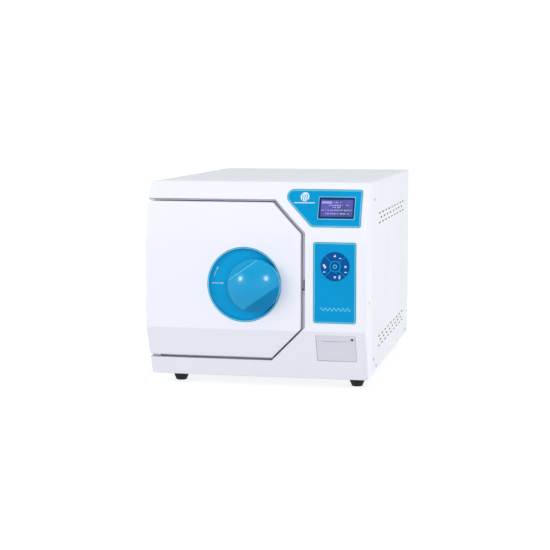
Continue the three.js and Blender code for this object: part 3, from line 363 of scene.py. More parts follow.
def boolean(operation, obj, tools):
    for tool in tools:
        modifier = obj.modifiers.new("boolean", "BOOLEAN")
        modifier.operation = operation
        modifier.object = tool
        modifier.solver = "EXACT"
    bake(obj)
    for tool in tools:
        bpy.data.objects.remove(tool)
    return obj


def cut(obj, *tools):
    return boolean("DIFFERENCE", obj, tools)


def join(obj, *others):
    return boolean("UNION", obj, others)


def common(obj, other):
    return boolean("INTERSECT", obj, [other])


def gather(name, pieces):
    """Puts separate pieces into one object without joining their surfaces."""
    bm = bmesh.new()
    for piece in pieces:
        bm.from_mesh(piece.data)
    first = pieces[0]
    for piece in pieces[1:]:
        bpy.data.objects.remove(piece)
    bm.to_mesh(first.data)
    bm.free()
    first.name = name
    return first


def bevel(obj, width, segments=2, angle=30, where=lambda p: True):
    """Rounds the edges sharper than an angle whose middle, in the casing's frame, is where it should be."""
    bm = bmesh.new()
    bm.from_mesh(obj.data)
    bmesh.ops.dissolve_limit(bm, angle_limit=math.radians(0.2), verts=bm.verts, edges=bm.edges)
    edges = []
    for e in bm.edges:
        centre = ((e.verts[0].co + e.verts[1].co) / 2 - CASE_ORIGIN) / MM
        if len(e.link_faces) == 2 and e.calc_face_angle(0) > math.radians(angle) and where(centre):
            edges.append(e)
    bmesh.ops.bevel(bm, geom=edges, offset=width * MM, offset_type="OFFSET", segments=segments, profile=0.5,
                    affect="EDGES", clamp_overlap=False)
    bmesh.ops.remove_doubles(bm, verts=bm.verts, dist=1e-6)
    bm.to_mesh(obj.data)
    bm.free()
    return obj


def smooth(obj, angle=32):
    obj.data.shade_smooth()
    obj.data.set_sharp_from_angle(angle=math.radians(angle))
    modifier = obj.modifiers.new("normals", "WEIGHTED_NORMAL")
    modifier.keep_sharp = True
    modifier.weight = 100
    return obj


def done(obj, material, body, slot, *nodes, angle=32):
    """Finishes a piece: its shading, material and body, and the CAD nodes that it stands for."""
    smooth(obj, angle)
    obj.data.materials.clear()
    obj.data.materials.append(material)
    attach(obj, body)
    if nodes:
        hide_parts(*nodes)
    return obj


# ---------------------------------------------------------------- materials

def linear(value):
    """A channel of an sRGB colour, 0 to 255, as a linear value."""
    return value / 255 / 12.92 if value <= 10 else ((value / 255 + 0.055) / 1.055) ** 2.4


def colour(red, green, blue):
    return linear(red), linear(green), linear(blue), 1


class Surface:
    """A procedural material: a Principled shader with constant sockets and added detail."""

    def __init__(self, name, base, roughness, metallic=0, **sockets):
        self.material = bpy.data.materials.new(name)
        self.material.use_nodes = True
        self.nodes = self.material.node_tree.nodes
        self.links = self.material.node_tree.links
        self.shader = self.nodes["Principled BSDF"]
        self.base, self.roughness = base, roughness
        self.set("Base Color", base)
        self.set("Roughness", roughness)
        self.set("Metallic", metallic)
        for socket, value in sockets.items():
            self.set(socket.replace("_", " "), value)
        self.place = self.nodes.new("ShaderNodeTexCoord").outputs["Object"]
        self.height = None

    def set(self, socket, value):
        self.shader.inputs[socket].default_value = value

    def node(self, kind, **inputs):
        node = self.nodes.new(kind)
        for key, value in inputs.items():
            socket = node.inputs[key.replace("_", " ")]
            if isinstance(value, bpy.types.NodeSocket):
                self.links.new(value, socket)
            else:
                socket.default_value = value
        return node

    def stretched(self, scale):
        return self.node("ShaderNodeMapping", Vector=self.place, Scale=scale).outputs["Vector"]

    def vector_math(self, operation, source, value=(0, 0, 0)):
        node = self.nodes.new("ShaderNodeVectorMath")
        node.operation = operation
        self.links.new(source, node.inputs[0])
        node.inputs[1].default_value = value
        return node.outputs

    def noise(self, scale, detail=2, vector=None, roughness=0.5):
        made = self.node("ShaderNodeTexNoise", Vector=vector or self.place, Scale=scale, Detail=detail)
        made.inputs["Roughness"].default_value = roughness
        return made.outputs["Fac"]

    def ramp(self, value, low, high, start=0.0, end=1.0):
        node = self.node("ShaderNodeMapRange", Value=value)
        node.inputs["From Min"].default_value, node.inputs["From Max"].default_value = low, high
        node.inputs["To Min"].default_value, node.inputs["To Max"].default_value = start, end
        return node.outputs["Result"]

    def bump(self, value, strength, distance_mm):
        node = self.node("ShaderNodeBump", Height=value, Strength=strength, Distance=distance_mm * MM)
        if self.height:
            self.links.new(self.height, node.inputs["Normal"])
        self.height = node.outputs["Normal"]
        self.links.new(self.height, self.shader.inputs["Normal"])
        return self

    def vary(self, value, shade, amount=1.0):
        """Mixes the base colour towards another shade where the value is high."""
        node = self.nodes.new("ShaderNodeMix")
        node.data_type = "RGBA"
        source = self.shader.inputs["Base Color"]
        if source.is_linked:
            self.links.new(source.links[0].from_socket, node.inputs["A"])
        else:
            node.inputs[6].default_value = self.base
        node.inputs[7].default_value = shade
        self.links.new(self.ramp(value, 0, 1, 0, amount), node.inputs[0])
        self.links.new(node.outputs[2], source)
        return self

    def vary_roughness(self, value, low, high):
        self.links.new(self.ramp(value, 0.3, 0.7, low, high), self.shader.inputs["Roughness"])
        return self


def scaled(base, factor):
    return tuple(min(1, v * factor) for v in base[:3]) + (1,)


def plastic(name, base, roughness, grain=900, depth=0.02, coat=0.0, cloud=0.06, mirror=0.5):
    """Moulded plastic: a fine grain, faint clouds of colour and slightly uneven gloss."""
    made = Surface(name, base, roughness, Coat_Weight=coat, Coat_Roughness=0.12, Specular_IOR_Level=mirror)
    made.vary(made.ramp(made.noise(9, 3), 0.35, 0.7), scaled(base, 1 - cloud))
    made.vary_roughness(made.noise(60, 2), roughness * 0.96, roughness * 1.05)
    made.bump(made.noise(grain, 2), 0.25, depth)
    return made.material


def powder_coat(name, base, roughness=0.42):
    """Painted sheet: the orange peel of a powder coat under faint dust."""
    made = Surface(name, base, roughness, Coat_Weight=0.15, Coat_Roughness=0.3)
    made.vary(made.ramp(made.noise(5, 4), 0.4, 0.75), scaled(base, 0.95))
    made.vary_roughness(made.noise(35, 3), roughness * 0.85, roughness * 1.2)
    made.bump(made.noise(420, 2), 0.22, 0.05)
    made.bump(made.noise(2600, 1), 0.12, 0.01)
    return made.material


def brushed(name, base, along="y", roughness=0.28):
    """Brushed sheet metal: long fine streaks along one axis."""
    made = Surface(name, base, roughness, 1.0, Anisotropic=0.45)
    scale = {"x": (2, 260, 260), "y": (260, 2, 260), "z": (260, 260, 2)}[along]
    streaks = made.noise(6, 4, made.stretched(scale), 0.6)
    made.vary(made.ramp(streaks, 0.3, 0.7), scaled(base, 0.82))
    made.vary_roughness(streaks, roughness * 0.75, roughness * 1.35)
    made.bump(streaks, 0.18, 0.01)
    made.vary(made.ramp(made.noise(7, 3), 0.5, 0.8), scaled(base, 0.88), 0.5)
    return made.material


def turned_metal(name, base, centre, roughness=0.24):
    """Metal turned on a lathe about an axis along y: fine rings round the centre (x, z)."""
    made = Surface(name, base, roughness, 1.0, Anisotropic=0.4)
    middle_row = to_row((centre[0], 0, centre[1]))
    apart = made.vector_math("SUBTRACT", made.place, (middle_row.x, 0, middle_row.z))["Vector"]
    flat = made.vector_math("MULTIPLY", apart, (1, 0, 1))["Vector"]
    radius = made.vector_math("LENGTH", flat)["Value"]
    spread = made.node("ShaderNodeCombineXYZ", X=radius).outputs["Vector"]
    rings = made.noise(1500, 3, spread, 0.7)
    made.vary(made.ramp(rings, 0.35, 0.7), scaled(base, 0.84))
    made.vary_roughness(rings, roughness * 0.8, roughness * 1.3)
    made.bump(rings, 0.15, 0.008)
    made.vary(made.ramp(made.noise(10, 3), 0.5, 0.8), scaled(base, 0.86), 0.5)
    return made.material


def cast_metal(name, base, roughness=0.45):
    made = Surface(name, base, roughness, 1.0)
    made.vary(made.ramp(made.noise(30, 5), 0.4, 0.7), scaled(base, 0.75))
    made.vary_roughness(made.noise(90, 3), roughness * 0.8, roughness * 1.3)
    made.bump(made.noise(700, 3), 0.3, 0.04)
    return made.material


def rubber(name, base, roughness=0.75):
    made = Surface(name, base, roughness, Specular_IOR_Level=0.35)
    made.vary(made.ramp(made.noise(40, 4), 0.45, 0.8), scaled(base, 2.2), 0.6)
    made.vary_roughness(made.noise(120, 2), roughness * 0.85, min(1, roughness * 1.15))
    made.bump(made.noise(1400, 3), 0.4, 0.03)
    return made.material


def printed_film(name, base, roughness=0.3):
    """A printed polyester film: fine velvet grain."""
    made = Surface(name, base, roughness, Specular_IOR_Level=0.08)
    made.vary(made.ramp(made.noise(14, 2), 0.3, 0.75), scaled(base, 0.93))
    made.vary_roughness(made.noise(50, 2), roughness * 0.85, roughness * 1.2)
    made.bump(made.noise(3200, 2), 0.22, 0.012)
    return made.material


def lit_screen(name, base):
    """A backlit graphic display: a fine dot grid and a soft falloff of light."""
    made = Surface(name, base, 0.25, Coat_Weight=1.0, Coat_Roughness=0.04)
    cells = made.node("ShaderNodeTexVoronoi", Vector=made.place, Scale=1800, Randomness=0.0)
    made.vary(made.ramp(cells.outputs["Distance"], 0.2, 0.6), scaled(base, 0.86))
    made.vary(made.ramp(made.noise(22, 1), 0.35, 0.7), colour(96, 84, 196), 0.7)
    made.set("Emission Color", base)
    made.set("Emission Strength", 0.25)
    return made.material


def wool(name, base):
    made = Surface(name, base, 0.95)
    fibres = made.noise(90, 5, made.stretched((1, 6, 1)), 0.7)
    made.vary(made.ramp(fibres, 0.3, 0.7), scaled(base, 0.7))
    made.bump(fibres, 0.8, 0.6)
    return made.material


WHITE = colour(243, 245, 253)
MOULDED = plastic("moulded_white", WHITE, 0.3, depth=0.003, coat=0.12, cloud=0.008, mirror=0.4)
# Painted shade: a grey for the faces deep in the door's recess, standing in for the shade in the gaps around the
# door; the moulding there is white as well.
RECESS_PAINTED_SHADE = plastic("recess_painted_shade", colour(212, 208, 220), 0.45, grain=1200, depth=0.02)
PAINTED = powder_coat("painted_white", colour(240, 243, 249))
STEEL = brushed("brushed_steel", colour(204, 206, 210))
STEEL_ACROSS = brushed("brushed_steel_across", colour(200, 202, 206), along="x")
TURNED = turned_metal("turned_steel", colour(208, 210, 214), (CHAMBER.x, CHAMBER.z))
GALVANISED = cast_metal("galvanised", colour(176, 182, 188), 0.4)
RUBBER = rubber("black_rubber", colour(24, 29, 31))
SILICONE = rubber("silicone", colour(214, 206, 190), 0.5)
KNOB_BLUE = plastic("knob_blue", colour(0, 162, 216), 0.2, grain=300, depth=0.003, cloud=0.05, mirror=0.3)
# Painted highlight: a lighter blue for the chamfer along the knob's step, standing in for the light that it
# catches.
KNOB_EDGE_PAINTED_HIGHLIGHT = plastic("knob_edge_painted_highlight", colour(70, 208, 244), 0.3, grain=1200, depth=0.01, cloud=0.05, mirror=0.3)
# Painted shade: a darker blue for the knob's slope below the grip, standing in for the shade that falls on it.
KNOB_FACET_PAINTED_SHADE = plastic("knob_facet_painted_shade", colour(0, 134, 190), 0.3, grain=1200, depth=0.012, cloud=0.05, mirror=0.12)
DISH_BLUE = plastic("dish_blue", colour(0, 172, 226), 0.3, grain=1200, depth=0.01, cloud=0.08, mirror=0.1)
# A light cyan for the dish's ring: partly the ring's own colour, partly a painted highlight on its bevel.
RING_CYAN_WITH_PAINTED_HIGHLIGHT = plastic("ring_cyan", colour(132, 220, 242), 0.16, grain=900, depth=0.004, coat=0.6, cloud=0.05)
PANEL_BLUE = printed_film("panel_blue", colour(0, 156, 216))
EDGE_TEAL = printed_film("edge_teal", colour(40, 150, 178))
LINE_CYAN = printed_film("line_cyan", colour(112, 208, 234))
KEY_BLUE = printed_film("key_blue", colour(0, 84, 160), 0.34)
PRINT_WHITE = printed_film("print_white", colour(226, 242, 250))
NAVY = plastic("display_navy", colour(8, 52, 112), 0.3, grain=900, depth=0.008, mirror=0.15)
SCREEN = lit_screen("lit_screen", colour(50, 58, 122))
SCREEN_MARK = lit_screen("screen_mark", colour(176, 176, 224))
PRINTER_GREY = plastic("printer_grey", colour(224, 226, 236), 0.42, grain=1500, depth=0.03, cloud=0.03)
BLACK = plastic("black_plastic", colour(34, 36, 40), 0.45, grain=1500, depth=0.03)
PAPER = plastic("paper", colour(246, 246, 240), 0.9, grain=2200, depth=0.03)
BRASS = cast_metal("brass", colour(196, 160, 96), 0.3)
BOARD = plastic("solder_mask", colour(28, 104, 62), 0.4, grain=700, depth=0.05, coat=0.2, cloud=0.3)
ALUMINIUM = cast_metal("cast_aluminium", colour(180, 184, 190))
TANK = plastic("polyethylene", colour(226, 232, 234), 0.45, grain=300, depth=0.1)
COPPER = cast_metal("heater_copper", colour(172, 104, 62))
WOOL = wool("mineral_wool", colour(186, 180, 166))
SCREW = cast_metal("zinc_screw", colour(150, 152, 158), 0.3)
COVER_SCREW = powder_coat("painted_screw", colour(150, 153, 160))


# ---------------------------------------------------------------- shared shapes

def on_front(x, z, tilt):
    """A frame with its origin on the front's surface."""
    return Matrix.Translation((x, front_depth(z), z)) @ Matrix.Rotation(tilt, 4, "X")


PRINTER_PLACE = on_front(middle("printer_body").x, PRINTER_Z, FACET_TILT)
DISPLAY_PLACE = on_front(middle("display_bezel").x, LCD_Z, LCD_TILT)
KNOB_PLACE = Matrix.Translation((KNOB.x, 0, KNOB.z)) @ Matrix.Rotation(-math.radians(KNOB_GRIP), 4, "Y")
FACING = {
    "front": Matrix.Identity(4),
    "back": Matrix.Rotation(math.pi, 4, "Z"),
    "right": Matrix.Rotation(math.pi / 2, 4, "Z"),
    "left": Matrix.Rotation(-math.pi / 2, 4, "Z"),
    "down": Matrix.Rotation(math.pi / 2, 4, "X"),
}


def duplicate(obj, shift=(0, 0, 0)):
    copy = obj.copy()
    copy.data = obj.data.copy()
    copy.data.transform(Matrix.Translation(Vector(shift) * MM))
    bpy.context.scene.collection.objects.link(copy)
    return copy


def screws(name, body, radius, height, spots, material=None):
    """Cross-recessed pan heads, each on the surface at a spot (place, facing), 0.8 mm or more of it buried."""
    heads = []
    for spot, facing in spots:
        place = Matrix.Translation(spot) @ FACING[facing]
        head = lathe(name, rounded([(0, 0.8), (radius, 0.8), (radius, -0.35 * height, 0.3 * height),
                                    (0.62 * radius, -0.88 * height, radius), (0, -height)], 3, closed=False),
                     steps=24, place=place)
        bars = [block("bar", xs, (-2 * height, -0.3 * height), zs, place=place)
                for xs, zs in (((-0.6 * radius, 0.6 * radius), (-0.13 * radius, 0.13 * radius)),
                               ((-0.13 * radius, 0.13 * radius), (-0.6 * radius, 0.6 * radius)))]
        heads.append(cut(head, *bars))
    return done(gather(name, heads), material or SCREW, body, "steel")


def slab(front, back, low, high, steps=40):
    """The front's own curve (y, z) as a layer between two depths."""
    heights = np.linspace(low, high, steps)
    return [(front_depth(z, front), z) for z in heights] + [(front_depth(z, back), z) for z in heights[::-1]]


def layer(name, outline, front, back):
    """A layer that follows the bulge of the front, cut to an outline (x, z)."""
    curved = prism(name, slab(front, back, BULGE_Z + 20, CASE_HEIGHT - 2), "x", 0, HALF_WIDTH)
    return common(curved, prism("outline", outline, "y", -60, 80))


def wave(left, right, z, height, length, thickness, steps=14):
    """The outline of a sine line (x, z) of even thickness."""
    xs = np.linspace(left, right, int((right - left) / length * steps) + 1)
    turn = 2 * math.pi * (xs - left) / length
    middle_line = z + height / 2 * np.sin(turn)
    slope = math.pi * height / length * np.cos(turn)
    half = thickness / 2 * np.sqrt(1 + slope**2)
    return np.concatenate([np.stack([xs, middle_line - half], 1), np.stack([xs, middle_line + half], 1)[::-1]])


# ---------------------------------------------------------------- casing

SIDE_SCREW = (49, 151)
BOLT_SLOT_Z = (177.5, 198.5)
MOUTH_GAP = 1.5  # between the vessel's flange and the front
LEDGE_GAP = 1.6  # between the door and the recess, behind the ledge
# Each ledge's depth and the heights that it runs between.
LEDGES = [(20, -10, 90), (9, 90, DOOR_HIGH.z), (9, DOOR_HIGH.z, CASE_HEIGHT - 1)]


def front_shell():
    """The moulded front: rounded at both sides, with the door's recess, the inlay beds and the openings."""
    rings = []
    for side, steps in ((-1, range(7)), (1, range(6, -1, -1))):
        for k in steps:
            angle = math.pi / 12 * k
            inset = FRAME_EDGE * (1 - math.sin(angle))
            x = side * (HALF_WIDTH - FRAME_EDGE * (1 - math.cos(angle)))
            ease = max(0.02, 2.5 - inset)
            outline = front_profile(inset, inset + CASE_LOW.z, CASE_HEIGHT - inset, FRAME_BACK + 20, ease)
            rings.append([Vector((x, y, z)) for y, z in outline])
    shell = loft("front_shell", rings)
    back = block("back", (-SWEEP, SWEEP), (FRAME_BACK, FRAME_BACK + 60), (-50, 450))
    hollow = prism("hollow", front_profile(WALL, CASE_LOW.z + WALL, CASE_HEIGHT - WALL, FRAME_BACK + 40), "x",
                   -HALF_WIDTH + WALL, HALF_WIDTH - WALL)
    cut(shell, back)
    recess_walls = common(duplicate(shell), prism("recess_walls", door_outline(wider(DOOR_GAP, WALL), True), "y",
                                                  -30, RECESS_DEPTH + WALL))
    cut(shell, hollow)
    join(shell, recess_walls)
    recess = prism("recess", door_outline(evenly(LEDGE_GAP), True), "y", -40, RECESS_DEPTH)
    rebates = [common(prism("rebate", door_outline(DOOR_GAP, True), "y", -40, RECESS_DEPTH),
                      prism("front_part", slab(-60, depth, low, high), "x", -SWEEP, SWEEP))
               for depth, low, high in LEDGES]
    mouth = rod("mouth", "y", FLANGE_RADIUS + MOUTH_GAP, 0, 200, (CHAMBER.x, CHAMBER.z), 96)
    keypad_bed = prism("bed", rectangle(KEYPAD_LOW.x - GAP, KEYPAD_HIGH.x + GAP, KEYPAD_LOW.z - GAP,
                                        KEYPAD_HIGH.z + GAP, 5), "y", -40, 2.4)
    printer_hole = block("printer_hole", (-39.4, 39.4), (-40, 40), (-30.05, 30.05), place=PRINTER_PLACE)
    display_bed = common(
        prism("bed", slab(-20, 1.5, BULGE_Z + 5, CASE_HEIGHT - 2), "x", 0, HALF_WIDTH - 1),
        prism("outline", display_outline(-GAP), "y", -60, FRAME_BACK))
    display_hole = block("display_hole", (-37.4, 37.4), (-40, 40), (-24.6, 24.6), place=DISPLAY_PLACE)
    recess_right = DOOR_HIGH.x + DOOR_GAP["right"]
    bolt_slot = block("bolt_slot", (DOOR_HIGH.x, recess_right + 2 * WALL), (18.5, 29.5), BOLT_SLOT_Z)
    pins = [rod("pin_hole", "z", 5.3, z, z + WALL + 2, (HINGE.x, HINGE.y), 32)
            for z in (DOOR_HIGH.z + DOOR_GAP["level"] - 1, DOOR_LOW.z - DOOR_GAP["level"] - WALL - 1)]
    bolt_notch = block("bolt_notch", (DOOR_HIGH.x + 1, recess_right), (-5, 30), BOLT_SLOT_Z)
    countersink = rod("countersink", "x", 3.6, HALF_WIDTH - 1.3, HALF_WIDTH + 5, SIDE_SCREW, 24)
    cut(shell, recess, *rebates, mouth, keypad_bed, printer_hole, display_bed, display_hole, bolt_slot,
        bolt_notch, countersink, *pins)
    bevel(shell, 0.6, 2, 40, lambda p: abs(p.x) < HALF_WIDTH - 1.5)
    done(shell, MOULDED, "casing", "moulded_white", "front_frame")
    # Painted shade: the faces deep in the door's recess get the grey for the shade in the gaps round the door,
    # though the moulding there is white.
    shell.data.materials.append(RECESS_PAINTED_SHADE)
    for face in shell.data.polygons:
        centre = (face.center - CASE_ORIGIN) / MM
        behind = centre.y - front_depth(centre.z) > 4 and centre.y < RECESS_DEPTH + 1
        beside = -HALF_WIDTH + 1.5 < centre.x < recess_right + 0.5
        level = DOOR_LOW.z - DOOR_GAP["level"] - 0.5 < centre.z < DOOR_HIGH.z + DOOR_GAP["level"] + 0.5
        if behind and beside and level:
            face.material_index = 1
    screws("front_screw", "casing", 3.1, 1.1, [((HALF_WIDTH - 1.3, *SIDE_SCREW), "right")], BLACK)


VENT_TOPS = (319, 63)  # heights of the two blocks' upper rows
VENT_ROWS = ((9, 0), (8, 0.5), (9, 0))  # slots in each row, and its shift as a share of their spacing
VENT_ROW_STEP = 10
VENT_FIRST_Y = 200
VENT_SPACING = 48.5
VENT_HALF_LENGTH = 12
VENT_HALF_HEIGHT = 1.75
COVER_SCREWS = [(120, 351), (119, 27), (157, 8), (646, 12)]  # depth and height


def cover():
    """The folded sheet over the top and sides, with three rows of slots high and low on each side."""
    side, top = COVER_HIGH.x, COVER_HIGH.z
    inner = side - SHEET
    path = [(side - 3.2, 0), (side, 0, 1.8), (side, top, 4), (-side, top, 4), (-side, 0, 1.8), (-side + 3.2, 0),
            (-side + 3.2, SHEET), (-inner, SHEET, 0.3), (-inner, top - SHEET, 2.5), (inner, top - SHEET, 2.5),
            (inner, SHEET, 0.3), (side - 3.2, SHEET)]
    sheet = prism("cover_sheet", rounded(path, 6), "y", COVER_LOW.y, COVER_HIGH.y, 0.35, 2)
    slots = []
    for top_row in VENT_TOPS:
        for row, (count, shift) in enumerate(VENT_ROWS):
            for i in range(count):
                y = VENT_FIRST_Y + (i + shift) * VENT_SPACING
                z = top_row - VENT_ROW_STEP * row
                slot = rectangle(y - VENT_HALF_LENGTH, y + VENT_HALF_LENGTH, z - VENT_HALF_HEIGHT,
                                 z + VENT_HALF_HEIGHT, 1.7, 6)
                slots.append(prism("slot", slot, "x", -SWEEP, SWEEP))
    cut(sheet, gather("slots", slots))
    bevel(sheet, 0.3, 2, 60, lambda p: abs(p.x) > inner - 0.1 and COVER_LOW.y + 50 < p.y < COVER_HIGH.y - 20
          and p.z > 30)
    done(sheet, PAINTED, "casing", "painted_white", "wrap_cover")
    spots = [((x, y, z), facing) for y, z in COVER_SCREWS for x, facing in ((side, "right"), (-side, "left"))]
    screws("cover_screws", "casing", 3.6, 0.75, spots, COVER_SCREW)


# The middle of the rotor's bounding box. Its seven blades put that 0.7 mm beside the axis that it turns about.
FAN = middle("fan_rotor")
INLET_PLACE = Matrix.Translation((middle("power_inlet").x, span("rear_panel")[0].y, middle("power_inlet").z))
DRAIN = Vector((60, span("rear_panel")[0].y, 55))


def rear():
    """The rear sheet with the fan's grille and the holes of the fittings."""
    low, high = span("rear_panel")
    side, top = high.x, high.z
    sheet = prism("rear_sheet", rounded([(-side, 0), (side, 0), (side, top, 2.2), (-side, top, 2.2)], 5), "y",
                  low.y, high.y, 0.4, 2)
    rings = [lathe("ring", [(r, low.y - 5), (r + 4.6, low.y - 5), (r + 4.6, high.y + 5), (r, high.y + 5)],
                   centre=(FAN.x, FAN.z), steps=72) for r in (9, 17, 25, 33, 41, 48.5)]
    grille = gather("grille", rings)
    turns = [Matrix.Translation(FAN) @ Matrix.Rotation(math.radians(a), 4, "Y") for a in (45, -45)]
    cut(grille, *[block("spoke", (-70, 70), (-99, 99), (-2.5, 2.5), place=turn) for turn in turns])
    holes = [rod("hole", "y", 13, low.y - 9, high.y + 9, (CHAMBER.x, CHAMBER.z), 48),
             rod("hole", "y", 9.5, low.y - 9, high.y + 9, (DRAIN.x, DRAIN.z), 48),
             block("hole", (-26.5, 26.5), (-9, 9), (-15.5, 15.5), place=INLET_PLACE)]
    cut(sheet, grille, *holes)
    bevel(sheet, 0.3, 2, 60, lambda p: abs(p.x) < side - 1 and 1 < p.z < top - 1)
    done(sheet, PAINTED, "casing", "painted_white", "rear_panel")
    border = [(x, z) for x in (-206, 206) for z in (14, 130, 250, 372)]
    border += [(x, z) for x in (-70, 70) for z in (14, 372)]
    fixings = [(FAN.x + 52.5 * a, FAN.z + 52.5 * b) for a in (-1, 1) for b in (-1, 1)]
    spots = [((x, high.y, z), "back") for x, z in border + fixings if (x, z) != (70, 14)]
    screws("rear_screws", "casing", 3.6, 2.2, spots)


def feet():
    for name in ("foot_front_left", "foot_front_right", "foot_rear_left", "foot_rear_right"):
        low, high = span(name)
        at = middle(name)
        profile = rounded([(0, low.z + 5), (5, low.z + 5), (6, low.z, 0.8), (10.6, low.z, 1.4),
                           (20.2, high.z - 4, 1), (20.5, high.z, 0.8), (0, high.z)], 4, closed=False)
        done(lathe(name + "_pad", profile, "z", (at.x, at.y), 64), RUBBER, "casing", "black_rubber", name)
        screws(name + "_screw", "casing", 4, 2, [((at.x, at.y, low.z + 5), "down")])


# ---------------------------------------------------------------- door

def door_shell():
    """The door's moulded cover: proud of the frame, with a round edge."""
    back = DOOR_HIGH.y
    outer = common(
        prism("door_shell", front_profile(-DOOR_PROUD, 0, CASE_HEIGHT - 5, back + 20), "x", DOOR_LOW.x - 9,
              DOOR_HIGH.x + 9),
        prism("outline", door_outline(evenly(0), ease=0, steps=2), "y", -60, back))
    bevel(outer, DOOR_EDGE, 4, 35, lambda p: p.y < back - 2 and p.y < front_depth(p.z, -DOOR_PROUD) + 1)
    hollow = common(
        prism("hollow", front_profile(WALL - DOOR_PROUD, 0, CASE_HEIGHT - 5, back + 20), "x",
              DOOR_LOW.x, DOOR_HIGH.x),
        prism("outline", door_outline(evenly(-WALL)), "y", -60, back + 20))
    dish_hole = rod("dish_hole", "y", DISH_RADIUS + 0.2, -40, 25, (DISH.x, DISH.z), 96)
    bolt_slot = block("bolt_slot", (DOOR_HIGH.x - 2 * WALL, DOOR_HIGH.x + 20), (19, 29), (178, 198))
    pin_holes = rod("pin_holes", "z", 5.8, 0, CASE_HEIGHT, (HINGE.x, HINGE.y), 32)
    cut(outer, hollow, dish_hole, bolt_slot, pin_holes)
    bevel(outer, 0.35, 2, 60)
    done(outer, MOULDED, "door", "moulded_white", "door_cover")


PLATE_OPENING = 138  # radius of the hole in the door's inner sheet
DOOR_SCREWS = [(-209, 60), (-209, 330), (-90, 336), (20, 336), (78, 270), (78, 118), (20, 52), (-90, 52)]


def door_back():
    """The sheet on the door's inside, open for the pressure plate, with the screws that hold it."""
    sheet = prism("door_back_sheet", door_outline(evenly(-WALL - GAP)), "y", DOOR_HIGH.y - 3, DOOR_HIGH.y, 0.5, 2)
    cut(sheet, rod("opening", "y", PLATE_OPENING, 0, 200, (CHAMBER.x, CHAMBER.z), 96))
    bevel(sheet, 0.4, 2, 60, lambda p: abs(math.hypot(p.x - CHAMBER.x, p.z - CHAMBER.z) - PLATE_OPENING) < 1)
    done(sheet, PAINTED, "door", "painted_white", "door_back_cover")
    screws("door_back_screws", "door", 3.4, 1.8, [((x, DOOR_HIGH.y, z), "back") for x, z in DOOR_SCREWS])


def plate_and_gasket():
    axis = (CHAMBER.x, CHAMBER.z)
    plate = rounded([(0, 44.3), (30, 44.3, 1), (34, 49.5, 1.5), (134, 49.5, 1), (136, 51.5, 1), (136, 59.5, 1),
                     (110, 59.5, 1.5), (104, 56.5, 1.5), (70, 56.5, 1), (67, 57.8, 1), (59, 57.8, 1),
                     (56, 56.5, 1), (0, 56.5)], 4, closed=False)
    done(lathe("plate_turned", plate, centre=axis, steps=144), TURNED, "door", "steel", "pressure_plate")
    lips = rounded([(118, 59.8, 0.4), (133, 59.8, 0.4), (133, 61.8, 0.6), (129, 64.7, 1.2), (122, 64.7, 1.2),
                    (118, 61.8, 0.6)], 4)
    done(lathe("gasket_ring", lips, centre=axis, steps=144), SILICONE, "door", "silicone", "door_gasket")


def dish():
    """The blue dish around the knob, the bright ring on its edge, and the marks that show which way to turn. The
    ring's light cyan is partly its own colour and partly a painted highlight on its bevel.
    """
    centre = (DISH.x, DISH.z)
    cup = lathe("dish_cup", rounded([(0, 8), (71.8, 8, 6), (71.8, -2, 0.5), (73, -2, 0.5), (73, 10), (0, 10)], 5,
                                    closed=False), centre=centre, steps=128)
    cut(cup, rod("spindle_hole", "y", 6.6, 0, 20, (KNOB.x, KNOB.z), 32))
    done(cup, DISH_BLUE, "door", "dish_blue", "knob_dish")
    lip = rounded([(71.6, -2.3, 0.1), (73.4, -2.3, 0.1), (73.2, -3.4, 0.4), (71.9, -3.4, 0.6)], 4)
    done(lathe("ring_lip", lip, centre=centre, steps=128), RING_CYAN_WITH_PAINTED_HIGHLIGHT, "door", "ring_cyan", "dish_ring")
    # Painted shadow: a thin teal rim round the ring stands in for the shade in the gap between the ring and the
    # door.
    rim = rounded([(73.3, -2.3, 0.1), (74.6, -2.3, 0.1), (74.4, -3.0, 0.4), (73.3, -3.2, 0.3)], 4)
    done(lathe("ring_rim_painted_shadow", rim, centre=centre, steps=128), EDGE_TEAL, "door", "ring_cyan")
    depth = (7.8, 8.2)
    marks = [prism("bar", rectangle(-84, -67, 188.2, 189.2), "y", *depth),
             prism("head", [(-88, 188.7), (-83.5, 186.9), (-83.5, 190.5)], "y", *depth),
             prism("head", [(-63, 188.7), (-67.5, 190.5), (-67.5, 186.9)], "y", *depth)]
    bow = np.concatenate([arc(centre, 64.6, 168, 152, 10), arc(centre, 63.8, 152, 168, 10)])
    marks.append(prism("bow", bow, "y", *depth))
    head = [polar(centre, 64.2, 148), polar(centre, 62.4, 152.5), polar(centre, 66, 152.5)]
    marks.append(prism("head", head, "y", *depth))
    done(gather("turn_marks", marks), PRINT_WHITE, "door", "ring_cyan")


